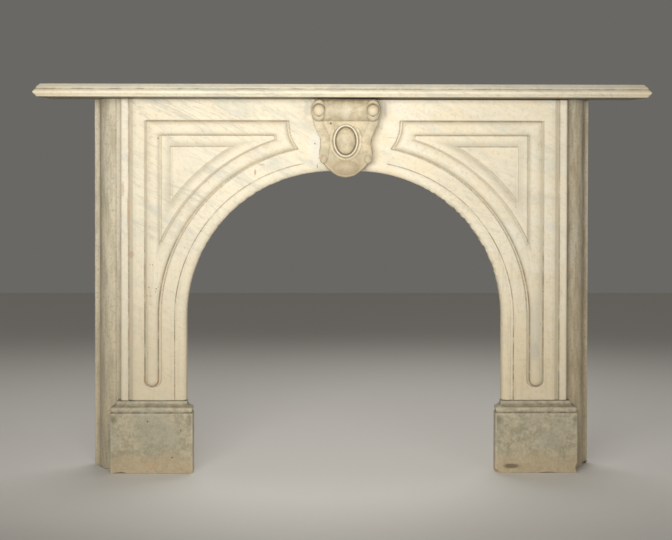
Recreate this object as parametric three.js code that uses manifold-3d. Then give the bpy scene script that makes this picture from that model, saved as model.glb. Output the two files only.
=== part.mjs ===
// A white marble arched chimneypiece: shelf, two half-arch slabs, keystone cartouche, two plinths
// and two moulded returns. Millimetres, +Z up, +Y into the wall. The origin is on the floor,
// below the middle of the shelf. The stones are drawn in the face's own frame: x to the right,
// y up, z out of the face towards the room, and the group at the end stands them up.
import * as THREE from "three";
import Module from "manifold-3d";
import { mergeVertices } from "three/addons/utils/BufferGeometryUtils.js";

const wasm = await Module();
wasm.setup();

// Opening: upright sides, a quarter circle over each haunch and a short level crown
const OPENING_HALF_WIDTH = 485;
const CROWN_HALF_FLAT = 42; // the haunches are struck from this far on each side of the middle
const SPRINGING_HEIGHT = 473;
const HAUNCH_RADIUS = OPENING_HALF_WIDTH - CROWN_HALF_FLAT;
const CROWN_HEIGHT = SPRINGING_HEIGHT + HAUNCH_RADIUS;

// Arched slabs
const ABOVE_CROWN = 221; // stone between the opening's crown and the shelf
const LEG_WIDTH = 200;
const SLAB_THICKNESS = 42;
const FACE_SHIFT = 6; // slabs, keystone and plinths stand this far to the right of the shelf
const GAP = 0.3; // dry joint between touching stones
const BODY_HEIGHT = CROWN_HEIGHT + ABOVE_CROWN; // floor to the underside of the shelf
const SLAB_HALF_WIDTH = OPENING_HALF_WIDTH + LEG_WIDTH;

// Rounding and groove along the opening
const EDGE_ROLL_WIDTH = 18;
const EDGE_ROLL_DEPTH = 14;
const EDGE_GROOVE_OFFSET = 30; // from the opening to the groove behind the rounding
const EDGE_GROOVE_WIDTH = 4;
const EDGE_GROOVE_DEPTH = 4;
const EDGE_GROOVE_END = 124; // the groove stops this far from the middle

// Splayed strip, quirk and bead along the outer edge of each slab
const SPLAY_WIDTH = 15;
const SPLAY_DEPTH = 3;
const BEAD_WIDTH = 29;
const BEAD_QUIRK_WIDTH = 3;
const BEAD_QUIRK_DEPTH = 6;
const BEAD_ARRIS = 3;
const BEAD_ROUNDING = 7;

// Sunk panel in each spandrel and leg. A channel with a half-round roll follows its outline and
// runs down the leg as a flute of the same width.
const PANEL_OFFSET = 76.7; // from the opening to the panel
const PANEL_TOP_MARGIN = 67; // below the shelf
const FLUTE_MARGIN = 40; // above the plinth
const PANEL_END_X = 53.5; // centre of the hollow end beside the keystone
const PANEL_END_DROP = 10; // the same centre below the panel's top
const PANEL_END_RADIUS = 120;
const CHANNEL_WIDTH = 46;
const CHANNEL_DEPTH = 9;
const ROLL_CREST_DEPTH = 1.5;
const ROLL_QUIRK = 1;
const ROLL_FILLET = 2; // low fillet between the panel's outline and the roll
const PANEL_TOP = BODY_HEIGHT - PANEL_TOP_MARGIN;
const PANEL_HALF_WIDTH = OPENING_HALF_WIDTH + PANEL_OFFSET + CHANNEL_WIDTH;

// Raised triangle in each spandrel: a band that falls inwards round a low pyramid
const TRIANGLE_DEPTH = 0.6;
const BAND_WIDTH = 33.5;
const BAND_ARRIS = 6;
const BAND_DEPTH = 7;
const FIELD_QUIRK = 1.2;
const FIELD_DEPTH = 3.4;
const FIELD_RISE = 3;
const FIELD_SLOPE_WIDTH = 44;

// Keystone cartouche: a plate rolled over at the top, with carving on it. Each half width has its
// level beside it, as a share of the keystone's own height from its foot to the shelf.
const KEY_SHIFT = 3; // to the right of the middle of the arch
const KEY_DROP = 19; // foot below the opening's crown
const KEY_THICKNESS = 46;
const KEY_EDGE = 12; // depth of the rounding along the plate's front
const KEY_SHOULDER = 102;
const KEY_SHOULDER_LEVEL = 0.846;
const KEY_TOP_HALF_WIDTH = 90;
const KEY_NECK = 95.5;
const KEY_NECK_LEVEL = 0.665;
const KEY_WAIST = 77;
const KEY_WAIST_LEVEL = 0.483;
const KEY_LOBE = 80;
const KEY_LOBE_LEVEL = 0.3125;
const KEY_LOBE_FOOT = 77;
const KEY_LOBE_FOOT_LEVEL = 0.2;
const KEY_NOTCH = 68;
const KEY_NOTCH_LEVEL = 0.175;
const KEY_TONGUE = 52;
const KEY_TONGUE_LEVEL = 0.104;
const KEY_TIP = 26;
const KEY_TIP_LEVEL = 0.025;
const KEY_FOOT_HEIGHT = CROWN_HEIGHT - KEY_DROP;

// Its scroll, with a volute and a button at each end
const SCROLL_RADIUS = 34;
const SCROLL_CENTRE = 34; // in front of the face
const VOLUTE_SPREAD = 81; // from the keystone's middle to the eye of each volute
const VOLUTE_HALF_WIDTH = 24;
const VOLUTE_HALF_HEIGHT = 33;
const VOLUTE_FRONT = 70; // in front of the face
const VOLUTE_RIM = 12;
const VOLUTE_BEVEL = 4;
const VOLUTE_DISH = 6;
const BUTTON_RADIUS = 17;
const BUTTON_RISE = 10;

// Its egg with a ring and an open cove, the straps down its sides, each with a curl at the end,
// and the swelling at its foot
const EGG_LEVEL = 0.4625;
const EGG_HALF_WIDTH = 29;
const EGG_HALF_LENGTH = 40;
const EGG_RISE = 15;
const RING_OFFSET = 6;
const COVE_OFFSET = 16;
const COVE_OPENING = 0.9; // radians left open at the top, on each side
const RING_WIDTH = 7;
const RING_RISE = 5;
const STRAP_INSET = 12; // from the plate's side to the middle of the strap
const STRAP_WIDTH = 19;
const STRAP_RISE = 6;
const CURL_SPREAD = 67;
const CURL_LEVEL = 0.24;
const CURL_HALF_WIDTH = 11;
const CURL_HALF_HEIGHT = 14;
const CURL_RISE = 10;
const SWELL_HALF_WIDTH = 46;
const SWELL_HALF_HEIGHT = 26;
const SWELL_LEVEL = 0.125;
const SWELL_RISE = 10;

// Plinths
const PLINTH_HEIGHT = 218;
const PLINTH_INNER_LAP = 26; // into the opening
const PLINTH_OUTER_LAP = 24; // beyond the slab's outer side
const PLINTH_PROJECTION = 20; // in front of the slabs
const CAP_FILLET_INSET = 18;
const CAP_FILLET_HEIGHT = 6;
const CAP_HOLLOW_HEIGHT = 11;
const CAP_TORUS_INSET = 1.5;
const CAP_TORUS_HEIGHT = 15;
const CAP_GROOVE_INSET = 4;
const CAP_GROOVE_HEIGHT = 4;

// Returns: a lap behind the slab, a quarter-round and a fillet against the wall
const RETURN_OFFSET = 5; // from the slab's outer side, were the face not shifted
const RETURN_LAP = 40;
const RETURN_NOSE = 4; // upright strip before the quarter-round
const QUARTER_ROUND = 58;
const REAR_FILLET_WIDTH = 20;
const REAR_FILLET_SETBACK = 23;
const REAR_FILLET_DEPTH = 28;
const RETURN_THICKNESS = 42;
const RETURN_START = SLAB_HALF_WIDTH + RETURN_OFFSET;
const RETURN_SIDE = RETURN_START + QUARTER_ROUND + REAR_FILLET_WIDTH;
const ROUND_TO_FACE = SLAB_THICKNESS + RETURN_NOSE + QUARTER_ROUND;
const FACE_TO_WALL = ROUND_TO_FACE + REAR_FILLET_SETBACK + REAR_FILLET_DEPTH;

// Shelf, its edge from the top down
const SHELF_OVERHANG = 135; // in front of the slabs
const SHELF_END_OVERHANG = 147; // beyond the returns
const SHELF_TOP_INSET = 19;
const SHELF_OGEE_HEIGHT = 14;
const SHELF_OGEE_HOLLOW = 1.5; // power that turns the ogee's round into a hollow at its top
const SHELF_NECK_INSET = 8;
const SHELF_NECK_HEIGHT = 2;
const SHELF_QUIRK_INSET = 10;
const SHELF_TORUS_HEIGHT = 18;
const SHELF_TORUS_RISE = 7;
const SHELF_FOOT_HEIGHT = 5;
const SHELF_FOOT_INSET = 10;
const SHELF_THICKNESS = SHELF_OGEE_HEIGHT + SHELF_NECK_HEIGHT + SHELF_TORUS_HEIGHT + SHELF_FOOT_HEIGHT;
const SHELF_HALF_WIDTH = RETURN_SIDE + SHELF_END_OVERHANG;

// Faceting
const ARC_STEP = Math.PI / 36;
const ARC_MARGIN = ARC_STEP / 8; // no break in an arc closer to its end than this
const HAUNCH_STEPS = 16;
const END_STEPS = 2;
const ROUND_STEPS = 5;
const ROLL_STEPS = 10;
const EDGE_STEPS = 6;
const BEVEL_STEPS = 3;
const FLUTE_STEPS = 8;
const SIDE_STEPS = 20;
const TONGUE_STEPS = 10;
const CIRCLE_STEPS = 24;

const OVERCUT = 5; // how far a cutter passes beyond the stone that it cuts
const SINK = 0.5; // how far an added form is let into the stone that carries it
const MERGE_DISTANCE = 1e-4;
const QUARTER_TURN = Math.PI / 2;

const v = (x, y) => new THREE.Vector2(x, y);
const haunchCentre = v(CROWN_HALF_FLAT, SPRINGING_HEIGHT);
const endCentre = v(PANEL_END_X, PANEL_TOP - PANEL_END_DROP);

// The values of a function at equal steps from 0 to 1.
const along = (steps, at) => Array.from({ length: steps + 1 }, (_, i) => at(i / steps));

// A closed geometry as a solid. One that faces inwards is turned round.
function solid(geometry) {
  const bare = geometry.clone();
  for (const name of Object.keys(bare.attributes)) {
    if (name !== "position") bare.deleteAttribute(name);
  }
  const merged = mergeVertices(bare, MERGE_DISTANCE);
  const triVerts = new Uint32Array(merged.index.array);
  const vertProperties = new Float32Array(merged.attributes.position.array);
  const stone = new wasm.Manifold(new wasm.Mesh({ numProp: 3, vertProperties, triVerts }));
  if (stone.volume() > 0) return stone;
  triVerts.reverse();
  return new wasm.Manifold(new wasm.Mesh({ numProp: 3, vertProperties, triVerts }));
}

function geometryOf(stone) {
  const { vertProperties, triVerts } = stone.getMesh();
  const geometry = new THREE.BufferGeometry();
  geometry.setAttribute("position", new THREE.BufferAttribute(new Float32Array(vertProperties), 3));
  geometry.setIndex(new THREE.BufferAttribute(new Uint32Array(triVerts), 1));
  const flat = geometry.toNonIndexed();
  flat.computeVertexNormals();
  return flat;
}

const join = (stones) => stones.reduce((whole, next) => whole.add(next));
const cut = (stone, cutters) => cutters.reduce((rest, next) => rest.subtract(next), stone);
const common = (stones) => stones.reduce((rest, next) => rest.intersect(next));
const mirrored = (stone) => solid(geometryOf(stone).scale(-1, 1, 1));

// An outline in the face's plane, as a stone from height low to height high.
function prism(outline, low, high) {
  const settings = { depth: high - low, bevelEnabled: false };
  return solid(new THREE.ExtrudeGeometry(new THREE.Shape(outline), settings).translate(0, 0, low));
}

// A profile (radius, height) turned about the axis through a centre, standing out of the face.
function turned(profile, centre, steps) {
  const lathe = new THREE.LatheGeometry(profile, steps).rotateX(QUARTER_TURN);
  return solid(lathe.translate(centre.x, centre.y, 0));
}

// A closed profile (offset to the left, height) run along a path with mitred corners, or along
// the stretch of the path between two of its points.
function run(profile, path, first = 0, last = path.length - 1) {
  const left = (a, b) => v(a.y - b.y, b.x - a.x).normalize();
  const positions = [];
  for (let i = first; i <= last; i += 1) {
    const after = i < path.length - 1 ? left(path[i], path[i + 1]) : left(path[i - 1], path[i]);
    const before = i > 0 ? left(path[i - 1], path[i]) : after;
    const mitre = before.clone().add(after).divideScalar(1 + before.dot(after));
    for (const p of profile) {
      positions.push(path[i].x + mitre.x * p.x, path[i].y + mitre.y * p.x, p.y);
    }
  }
  const count = profile.length;
  const end = (last - first) * count;
  const index = [];
  for (let start = 0; start < end; start += count) {
    for (let j = 0; j < count; j += 1) {
      const a = start + j;
      const b = start + ((j + 1) % count);
      index.push(a, b, a + count, b, b + count, a + count);
    }
  }
  const { area, triangulateShape } = THREE.ShapeUtils;
  for (const [a, b, c] of triangulateShape(profile, [])) {
    const same = area([profile[a], profile[b], profile[c]]) * area(profile) > 0;
    const [p, q] = same ? [c, b] : [b, c];
    index.push(a, p, q, end + a, end + q, end + p);
  }
  const geometry = new THREE.BufferGeometry();
  geometry.setAttribute("position", new THREE.Float32BufferAttribute(positions, 3));
  geometry.setIndex(index);
  return solid(geometry);
}

// A profile (x, height) run upwards, and a profile (y, height) run from left to right.
const upright = (profile, low, high) => run(profile.map((p) => v(-p.x, p.y)), [v(0, low), v(0, high)]);
const level = (profile, from, to) => run(profile, [v(from, 0), v(to, 0)]);

// Where circles round the haunch's centre meet the upright at x, the level y, and another circle.
const haunchHeight = (radius, x) => SPRINGING_HEIGHT + Math.sqrt(radius ** 2 - (x - haunchCentre.x) ** 2);
const haunchReach = (radius, y) => haunchCentre.x + Math.sqrt(radius ** 2 - (y - SPRINGING_HEIGHT) ** 2);

function circlesMeet(radius, endRadius) {
  const between = endCentre.clone().sub(haunchCentre);
  const apart = between.length();
  const towards = (radius ** 2 - endRadius ** 2 + apart ** 2) / (2 * apart);
  const aside = Math.sqrt(radius ** 2 - towards ** 2);
  const unit = between.divideScalar(apart);
  return v(
    haunchCentre.x + towards * unit.x + aside * unit.y,
    haunchCentre.y + towards * unit.y - aside * unit.x,
  );
}

// Points on a circle from one of its points to another. The haunch's arcs all break at the same
// angles, so that they stay parallel; others are cut into equal steps.
function arc(centre, from, to, steps) {
  const radius = from.distanceTo(centre);
  const start = Math.atan2(from.y - centre.y, from.x - centre.x);
  const end = Math.atan2(to.y - centre.y, to.x - centre.x);
  const on = (angle) => v(centre.x + radius * Math.cos(angle), centre.y + radius * Math.sin(angle));
  if (steps) {
    const turn = along(steps, (t) => on(start + (end - start) * t));
    return [from, ...turn.slice(1, -1), to];
  }
  const angles = [];
  for (let angle = ARC_STEP; angle < QUARTER_TURN; angle += ARC_STEP) angles.push(angle);
  if (start > end) angles.reverse();
  const low = Math.min(start, end) + ARC_MARGIN;
  const high = Math.max(start, end) - ARC_MARGIN;
  const inside = angles.filter((angle) => angle > low && angle < high);
  return [from, ...inside.map(on), to];
}

// A quarter of an ellipse that rounds off an edge: (distance from the edge, height).
function rounding(width, depth) {
  return along(ROUND_STEPS, (t) => {
    const angle = QUARTER_TURN * t;
    return v(width * (1 - Math.cos(angle)), -depth * (1 - Math.sin(angle)));
  });
}

// The opening's edge moved outwards by an offset, from a leg's foot over the haunch to endX.
function openingPath(offset, endX) {
  const radius = HAUNCH_RADIUS + offset;
  const side = OPENING_HALF_WIDTH + offset;
  const stop = Math.max(endX, CROWN_HALF_FLAT);
  const over = arc(haunchCentre, v(side, SPRINGING_HEIGHT), v(stop, haunchHeight(radius, stop)));
  const crown = endX < CROWN_HALF_FLAT ? [v(endX, CROWN_HEIGHT + offset)] : [];
  return [v(side, PLINTH_HEIGHT - OVERCUT), ...over, ...crown];
}

function openingCutters() {
  const round = rounding(EDGE_ROLL_WIDTH, EDGE_ROLL_DEPTH).map((p) => v(-p.x, p.y));
  const roll = [v(OVERCUT, OVERCUT), v(OVERCUT, -EDGE_ROLL_DEPTH), ...round, v(-EDGE_ROLL_WIDTH, OVERCUT)];
  const half = EDGE_GROOVE_WIDTH / 2;
  const groove = [v(-half, OVERCUT), v(-half, 0), v(0, -EDGE_GROOVE_DEPTH), v(half, 0), v(half, OVERCUT)];
  return [
    run(roll, openingPath(0, -OVERCUT)),
    run(groove, openingPath(EDGE_GROOVE_OFFSET, EDGE_GROOVE_END)),
  ];
}

function outerEdgeCutters() {
  const beadSide = SLAB_HALF_WIDTH - BEAD_WIDTH;
  const quirk = beadSide - BEAD_QUIRK_WIDTH;
  const splay = [
    v(quirk - SPLAY_WIDTH, OVERCUT),
    v(quirk - SPLAY_WIDTH, 0),
    v(quirk, -SPLAY_DEPTH),
    v(quirk, -BEAD_QUIRK_DEPTH),
    v(beadSide, -BEAD_QUIRK_DEPTH),
    v(beadSide + BEAD_ARRIS, 0),
    v(beadSide + BEAD_ARRIS, OVERCUT),
  ];
  const round = rounding(BEAD_ROUNDING, BEAD_ROUNDING).map((p) => v(SLAB_HALF_WIDTH - p.x, p.y));
  const outside = SLAB_HALF_WIDTH + OVERCUT;
  const corner = [v(outside, OVERCUT), v(outside, -BEAD_ROUNDING), ...round, v(round.at(-1).x, OVERCUT)];
  return [splay, corner].map((profile) => upright(profile, 0, BODY_HEIGHT + OVERCUT));
}

// The corners of the panel's outline, or of a parallel that lies further in by an inset.
function panelCorners(inset) {
  const radius = HAUNCH_RADIUS + PANEL_OFFSET + inset;
  const endRadius = PANEL_END_RADIUS + inset;
  const top = PANEL_TOP - inset;
  const endReach = Math.sqrt(endRadius ** 2 - (top - endCentre.y) ** 2);
  return {
    radius,
    outerTop: v(PANEL_HALF_WIDTH - inset, top),
    endTop: v(endCentre.x + endReach, top),
    tip: circlesMeet(radius, endRadius),
    springing: v(haunchCentre.x + radius, SPRINGING_HEIGHT),
  };
}

// Centre of the flute's round foot.
const FLUTE_RADIUS = CHANNEL_WIDTH / 2;
const fluteFoot = v(PANEL_HALF_WIDTH - FLUTE_RADIUS, PLINTH_HEIGHT + FLUTE_MARGIN + FLUTE_RADIUS);

function panelOutline() {
  const { outerTop, endTop, tip, springing } = panelCorners(0);
  const foot = along(FLUTE_STEPS, (t) => {
    const angle = Math.PI * (1 + t);
    return v(fluteFoot.x + FLUTE_RADIUS * Math.cos(angle), fluteFoot.y + FLUTE_RADIUS * Math.sin(angle));
  });
  const end = arc(endCentre, endTop, tip, ROUND_STEPS);
  return [...foot, outerTop, ...end, ...arc(haunchCentre, tip, springing).slice(1)];
}

// The triangle that the channel runs round, with its blunt tip beside the keystone.
function triangleOutline() {
  const { radius, outerTop, endTop, tip } = panelCorners(CHANNEL_WIDTH);
  const lowTip = v(outerTop.x, haunchHeight(radius, outerTop.x));
  return [outerTop, endTop, ...arc(haunchCentre, tip, lowTip)];
}

function fieldOutline(inset) {
  const { radius, outerTop } = panelCorners(inset);
  const topTip = v(haunchReach(radius, outerTop.y), outerTop.y);
  const lowTip = v(outerTop.x, haunchHeight(radius, outerTop.x));
  return [outerTop, ...arc(haunchCentre, topTip, lowTip)];
}

// Cutters, one a side of the triangle at an inset, that take away what stands in front of a
// surface. The surface is given as (distance in from the side, height).
function sideCutters(inset, surface) {
  const { radius, outerTop } = panelCorners(inset);
  const profile = [v(surface[0].x, OVERCUT), ...surface, v(surface.at(-1).x, OVERCUT)];
  const fromTop = profile.map((p) => v(outerTop.y - p.x, p.y));
  const fromSide = profile.map((p) => v(outerTop.x - p.x, p.y));
  const fromArc = [...profile, profile[0]].map((p) => v(radius + p.x, p.y));
  return [
    level(fromTop, 0, SLAB_HALF_WIDTH),
    upright(fromSide, SPRINGING_HEIGHT, BODY_HEIGHT),
    turned(fromArc, haunchCentre, (2 * Math.PI) / ARC_STEP),
  ];
}

// Section of the half-round roll, (offset, height), with its fillet towards the panel's outline.
function rollProfile() {
  const side = FLUTE_RADIUS - ROLL_QUIRK;
  const half = side - ROLL_FILLET / 2;
  const rise = CHANNEL_DEPTH - ROLL_CREST_DEPTH;
  const round = along(ROLL_STEPS, (t) => {
    const angle = Math.PI * t;
    return v(side - half + half * Math.cos(angle), -CHANNEL_DEPTH + rise * Math.sin(angle));
  }).slice(0, -1);
  const floor = -CHANNEL_DEPTH - SINK;
  return [v(side, floor), ...round, v(-side, round.at(-1).y), v(-side, floor)];
}

function rollDome() {
  const radius = FLUTE_RADIUS - ROLL_QUIRK;
  const rise = CHANNEL_DEPTH - ROLL_CREST_DEPTH;
  const floor = -CHANNEL_DEPTH - SINK;
  const round = along(ROUND_STEPS, (t) => {
    const angle = QUARTER_TURN * t;
    return v(radius * Math.cos(angle), -CHANNEL_DEPTH + rise * Math.sin(angle));
  });
  round.at(-1).x = 0;
  return turned([v(0, floor), v(radius, floor), ...round], fluteFoot, 2 * FLUTE_STEPS);
}

// The roll goes up the leg, round the spandrel and back. Its two runs share one step of the path.
function rolls() {
  const { endTop, outerTop, tip, springing } = panelCorners(FLUTE_RADIUS);
  const end = arc(endCentre, endTop, tip, END_STEPS);
  const haunch = arc(haunchCentre, tip, springing, HAUNCH_STEPS);
  const path = [fluteFoot, outerTop, ...end, ...haunch.slice(1), fluteFoot];
  const turn = 1 + end.length;
  return [run(rollProfile(), path, 0, turn), run(rollProfile(), path, turn - 1), rollDome()];
}

function bandCutter(triangle) {
  const fall = rounding(BAND_WIDTH - BAND_ARRIS, BAND_DEPTH - TRIANGLE_DEPTH).reverse();
  const band = fall.map((p) => v(BAND_WIDTH - p.x, p.y - TRIANGLE_DEPTH));
  const surface = [v(-OVERCUT, -TRIANGLE_DEPTH), ...band, v(SLAB_HALF_WIDTH, -BAND_DEPTH)];
  return common([triangle, ...sideCutters(CHANNEL_WIDTH, surface)]);
}

// The low pyramid, cut by three slopes that go on until they reach the slab's face.
function pyramid() {
  const inset = CHANNEL_WIDTH + BAND_WIDTH + FIELD_QUIRK;
  const slope = FIELD_RISE / FIELD_SLOPE_WIDTH;
  const pitch = [v(-OVERCUT, -FIELD_DEPTH - OVERCUT * slope), v(FIELD_DEPTH / slope, 0)];
  return cut(prism(fieldOutline(inset), -BAND_DEPTH - SINK, 0), sideCutters(inset, pitch));
}

function archSlab() {
  const over = arc(haunchCentre, v(OPENING_HALF_WIDTH, SPRINGING_HEIGHT), v(CROWN_HALF_FLAT, CROWN_HEIGHT));
  const outline = [
    v(GAP / 2, CROWN_HEIGHT),
    v(GAP / 2, BODY_HEIGHT - GAP),
    v(SLAB_HALF_WIDTH, BODY_HEIGHT - GAP),
    v(SLAB_HALF_WIDTH, PLINTH_HEIGHT + GAP),
    v(OPENING_HALF_WIDTH, PLINTH_HEIGHT + GAP),
    ...over,
  ];
  const blank = prism(outline, -SLAB_THICKNESS, 0);
  const channel = prism(panelOutline(), -CHANNEL_DEPTH, OVERCUT);
  const triangle = prism(triangleOutline(), -CHANNEL_DEPTH - SINK, 2 * OVERCUT);
  const sunk = cut(blank, [cut(channel, [triangle]), ...openingCutters(), ...outerEdgeCutters()]);
  return join([cut(sunk, [bandCutter(triangle)]), ...rolls(), pyramid()]);
}

const keyLevel = (share) => KEY_FOOT_HEIGHT + share * (BODY_HEIGHT - KEY_FOOT_HEIGHT);
const SCROLL_HEIGHT = keyLevel(KEY_SHOULDER_LEVEL);
const CARVING_BASE = KEY_THICKNESS - SINK;

function ellipsoid(halfWidth, halfHeight, rise, centre, base) {
  const ball = new THREE.SphereGeometry(1, CIRCLE_STEPS, CIRCLE_STEPS / 2).rotateX(QUARTER_TURN);
  return solid(ball.scale(halfWidth, halfHeight, rise).translate(centre.x, centre.y, base));
}

// A half-round moulding on the keystone's face, along a path.
function bead(path, width, rise) {
  const round = along(ROUND_STEPS, (t) => {
    const angle = Math.PI * t;
    return v((width / 2) * Math.cos(angle), CARVING_BASE + rise * Math.sin(angle));
  });
  const floor = CARVING_BASE - KEY_EDGE;
  return run([...round, v(-width / 2, floor), v(width / 2, floor)], path);
}

function keyPlate() {
  const side = new THREE.SplineCurve([
    v(KEY_TOP_HALF_WIDTH, BODY_HEIGHT - GAP),
    v(KEY_SHOULDER, SCROLL_HEIGHT),
    v(KEY_NECK, keyLevel(KEY_NECK_LEVEL)),
    v(KEY_WAIST, keyLevel(KEY_WAIST_LEVEL)),
    v(KEY_LOBE, keyLevel(KEY_LOBE_LEVEL)),
    v(KEY_LOBE_FOOT, keyLevel(KEY_LOBE_FOOT_LEVEL)),
  ]).getPoints(SIDE_STEPS);
  const tongue = new THREE.SplineCurve([
    v(KEY_NOTCH, keyLevel(KEY_NOTCH_LEVEL)),
    v(KEY_TONGUE, keyLevel(KEY_TONGUE_LEVEL)),
    v(KEY_TIP, keyLevel(KEY_TIP_LEVEL)),
    v(0, KEY_FOOT_HEIGHT),
  ]).getPoints(TONGUE_STEPS);
  const right = [...side, ...tongue];
  const left = right.slice(0, -1).map((p) => v(-p.x, p.y)).reverse();
  const settings = {
    depth: KEY_THICKNESS - KEY_EDGE,
    bevelThickness: KEY_EDGE,
    bevelSize: KEY_EDGE / 2,
    bevelOffset: -KEY_EDGE / 2,
    bevelSegments: BEVEL_STEPS,
  };
  return solid(new THREE.ExtrudeGeometry(new THREE.Shape([...right, ...left]), settings));
}

function keyScroll() {
  const length = 2 * VOLUTE_SPREAD - VOLUTE_HALF_WIDTH;
  const roll = new THREE.CylinderGeometry(SCROLL_RADIUS, SCROLL_RADIUS, length, CIRCLE_STEPS);
  roll.rotateZ(QUARTER_TURN).translate(0, SCROLL_HEIGHT, SCROLL_CENTRE);
  const dish = VOLUTE_FRONT - VOLUTE_DISH;
  const profile = [
    v(0, GAP),
    v(VOLUTE_HALF_HEIGHT, GAP),
    v(VOLUTE_HALF_HEIGHT, VOLUTE_FRONT - VOLUTE_RIM),
    v(VOLUTE_HALF_HEIGHT - VOLUTE_BEVEL, VOLUTE_FRONT - VOLUTE_BEVEL),
    v(VOLUTE_HALF_HEIGHT - VOLUTE_RIM, VOLUTE_FRONT),
    v(BUTTON_RADIUS, dish),
    v(0, dish),
  ];
  const ends = [-1, 1].flatMap((side) => {
    const eye = v(side * VOLUTE_SPREAD, SCROLL_HEIGHT);
    const disc = new THREE.LatheGeometry(profile, CIRCLE_STEPS).rotateX(QUARTER_TURN);
    disc.scale(VOLUTE_HALF_WIDTH / VOLUTE_HALF_HEIGHT, 1, 1).translate(eye.x, eye.y, 0);
    return [solid(disc), ellipsoid(BUTTON_RADIUS, BUTTON_RADIUS, VOLUTE_DISH + BUTTON_RISE, eye, dish)];
  });
  return [solid(roll), ...ends];
}

function keyStraps() {
  return [-1, 1].flatMap((side) => {
    const inside = (halfWidth, height) => v(side * (halfWidth - STRAP_INSET), height);
    const curl = v(side * CURL_SPREAD, keyLevel(CURL_LEVEL));
    const curve = new THREE.SplineCurve([
      inside(KEY_SHOULDER, SCROLL_HEIGHT - VOLUTE_HALF_HEIGHT / 2),
      inside(KEY_NECK, keyLevel(KEY_NECK_LEVEL)),
      inside(KEY_WAIST, keyLevel(KEY_WAIST_LEVEL)),
      inside(KEY_LOBE, keyLevel(KEY_LOBE_LEVEL)),
      curl,
    ]);
    return [
      bead(curve.getPoints(SIDE_STEPS), STRAP_WIDTH, STRAP_RISE),
      ellipsoid(CURL_HALF_WIDTH, CURL_HALF_HEIGHT, CURL_RISE, curl, CARVING_BASE),
    ];
  });
}

// A line round the egg at an offset, open at the top by an angle on each side.
function eggLine(offset, opening) {
  const width = EGG_HALF_WIDTH + offset;
  const length = EGG_HALF_LENGTH + offset;
  return along(CIRCLE_STEPS, (t) => {
    const angle = QUARTER_TURN + opening + 2 * (Math.PI - opening) * t;
    return v(width * Math.cos(angle), keyLevel(EGG_LEVEL) + length * Math.sin(angle));
  });
}

function keyEgg() {
  const centre = v(0, keyLevel(EGG_LEVEL));
  const ring = eggLine(RING_OFFSET, 0);
  const half = CIRCLE_STEPS / 2;
  const lines = [ring.slice(0, half + 1), ring.slice(half), eggLine(COVE_OFFSET, COVE_OPENING)];
  const egg = ellipsoid(EGG_HALF_WIDTH, EGG_HALF_LENGTH, EGG_RISE, centre, CARVING_BASE);
  return [egg, ...lines.map((line) => bead(line, RING_WIDTH, RING_RISE))];
}

function keystone() {
  const foot = v(0, keyLevel(SWELL_LEVEL));
  const swelling = ellipsoid(SWELL_HALF_WIDTH, SWELL_HALF_HEIGHT, SWELL_RISE, foot, CARVING_BASE);
  const carved = join([keyPlate(), ...keyScroll(), ...keyStraps(), ...keyEgg(), swelling]);
  const reach = KEY_SHOULDER + VOLUTE_SPREAD; // further than anything on the keystone
  const room = [v(-reach, 0), v(reach, 0), v(reach, BODY_HEIGHT - GAP), v(-reach, BODY_HEIGHT - GAP)];
  return common([carved, prism(room, GAP, reach)]);
}

// The plinth's edge: (inset from the block, height), from the floor up.
function plinthEdge() {
  const hollow = PLINTH_HEIGHT - CAP_FILLET_HEIGHT - CAP_HOLLOW_HEIGHT;
  const torus = hollow - CAP_TORUS_HEIGHT;
  const groove = torus - CAP_GROOVE_HEIGHT;
  const swell = CAP_GROOVE_INSET - CAP_TORUS_INSET;
  const depth = CAP_FILLET_INSET - CAP_GROOVE_INSET;
  const bulge = along(ROUND_STEPS, (t) => {
    return v(CAP_GROOVE_INSET - swell * Math.sin(Math.PI * t), torus + CAP_TORUS_HEIGHT * t);
  });
  const cove = along(ROUND_STEPS, (t) => {
    const angle = QUARTER_TURN * t;
    return v(CAP_GROOVE_INSET + depth * Math.sin(angle), hollow + CAP_HOLLOW_HEIGHT * (1 - Math.cos(angle)));
  });
  return [
    v(0, 0),
    v(0, groove),
    v(CAP_GROOVE_INSET, groove),
    ...bulge,
    ...cove.slice(1),
    v(CAP_FILLET_INSET, PLINTH_HEIGHT),
  ];
}

// A block with an edge profile run along its front and returned on both ends, (inset, height).
function mouldedBlock(edge, left, right, back, front) {
  const [foot, top] = [edge[0].y, edge.at(-1).y];
  const section = edge.map((p) => v(p.y, front - p.x));
  const ends = [...edge.map((p) => v(right - p.x, p.y)), ...edge.map((p) => v(left + p.x, p.y)).reverse()];
  return common([
    level([...section, v(top, back), v(foot, back)], left, right),
    prism(ends, back - OVERCUT, front + OVERCUT),
  ]);
}

function plinth() {
  const inner = OPENING_HALF_WIDTH - PLINTH_INNER_LAP;
  const outer = SLAB_HALF_WIDTH + PLINTH_OUTER_LAP;
  return mouldedBlock(plinthEdge(), inner, outer, -SLAB_THICKNESS, PLINTH_PROJECTION);
}

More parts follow.
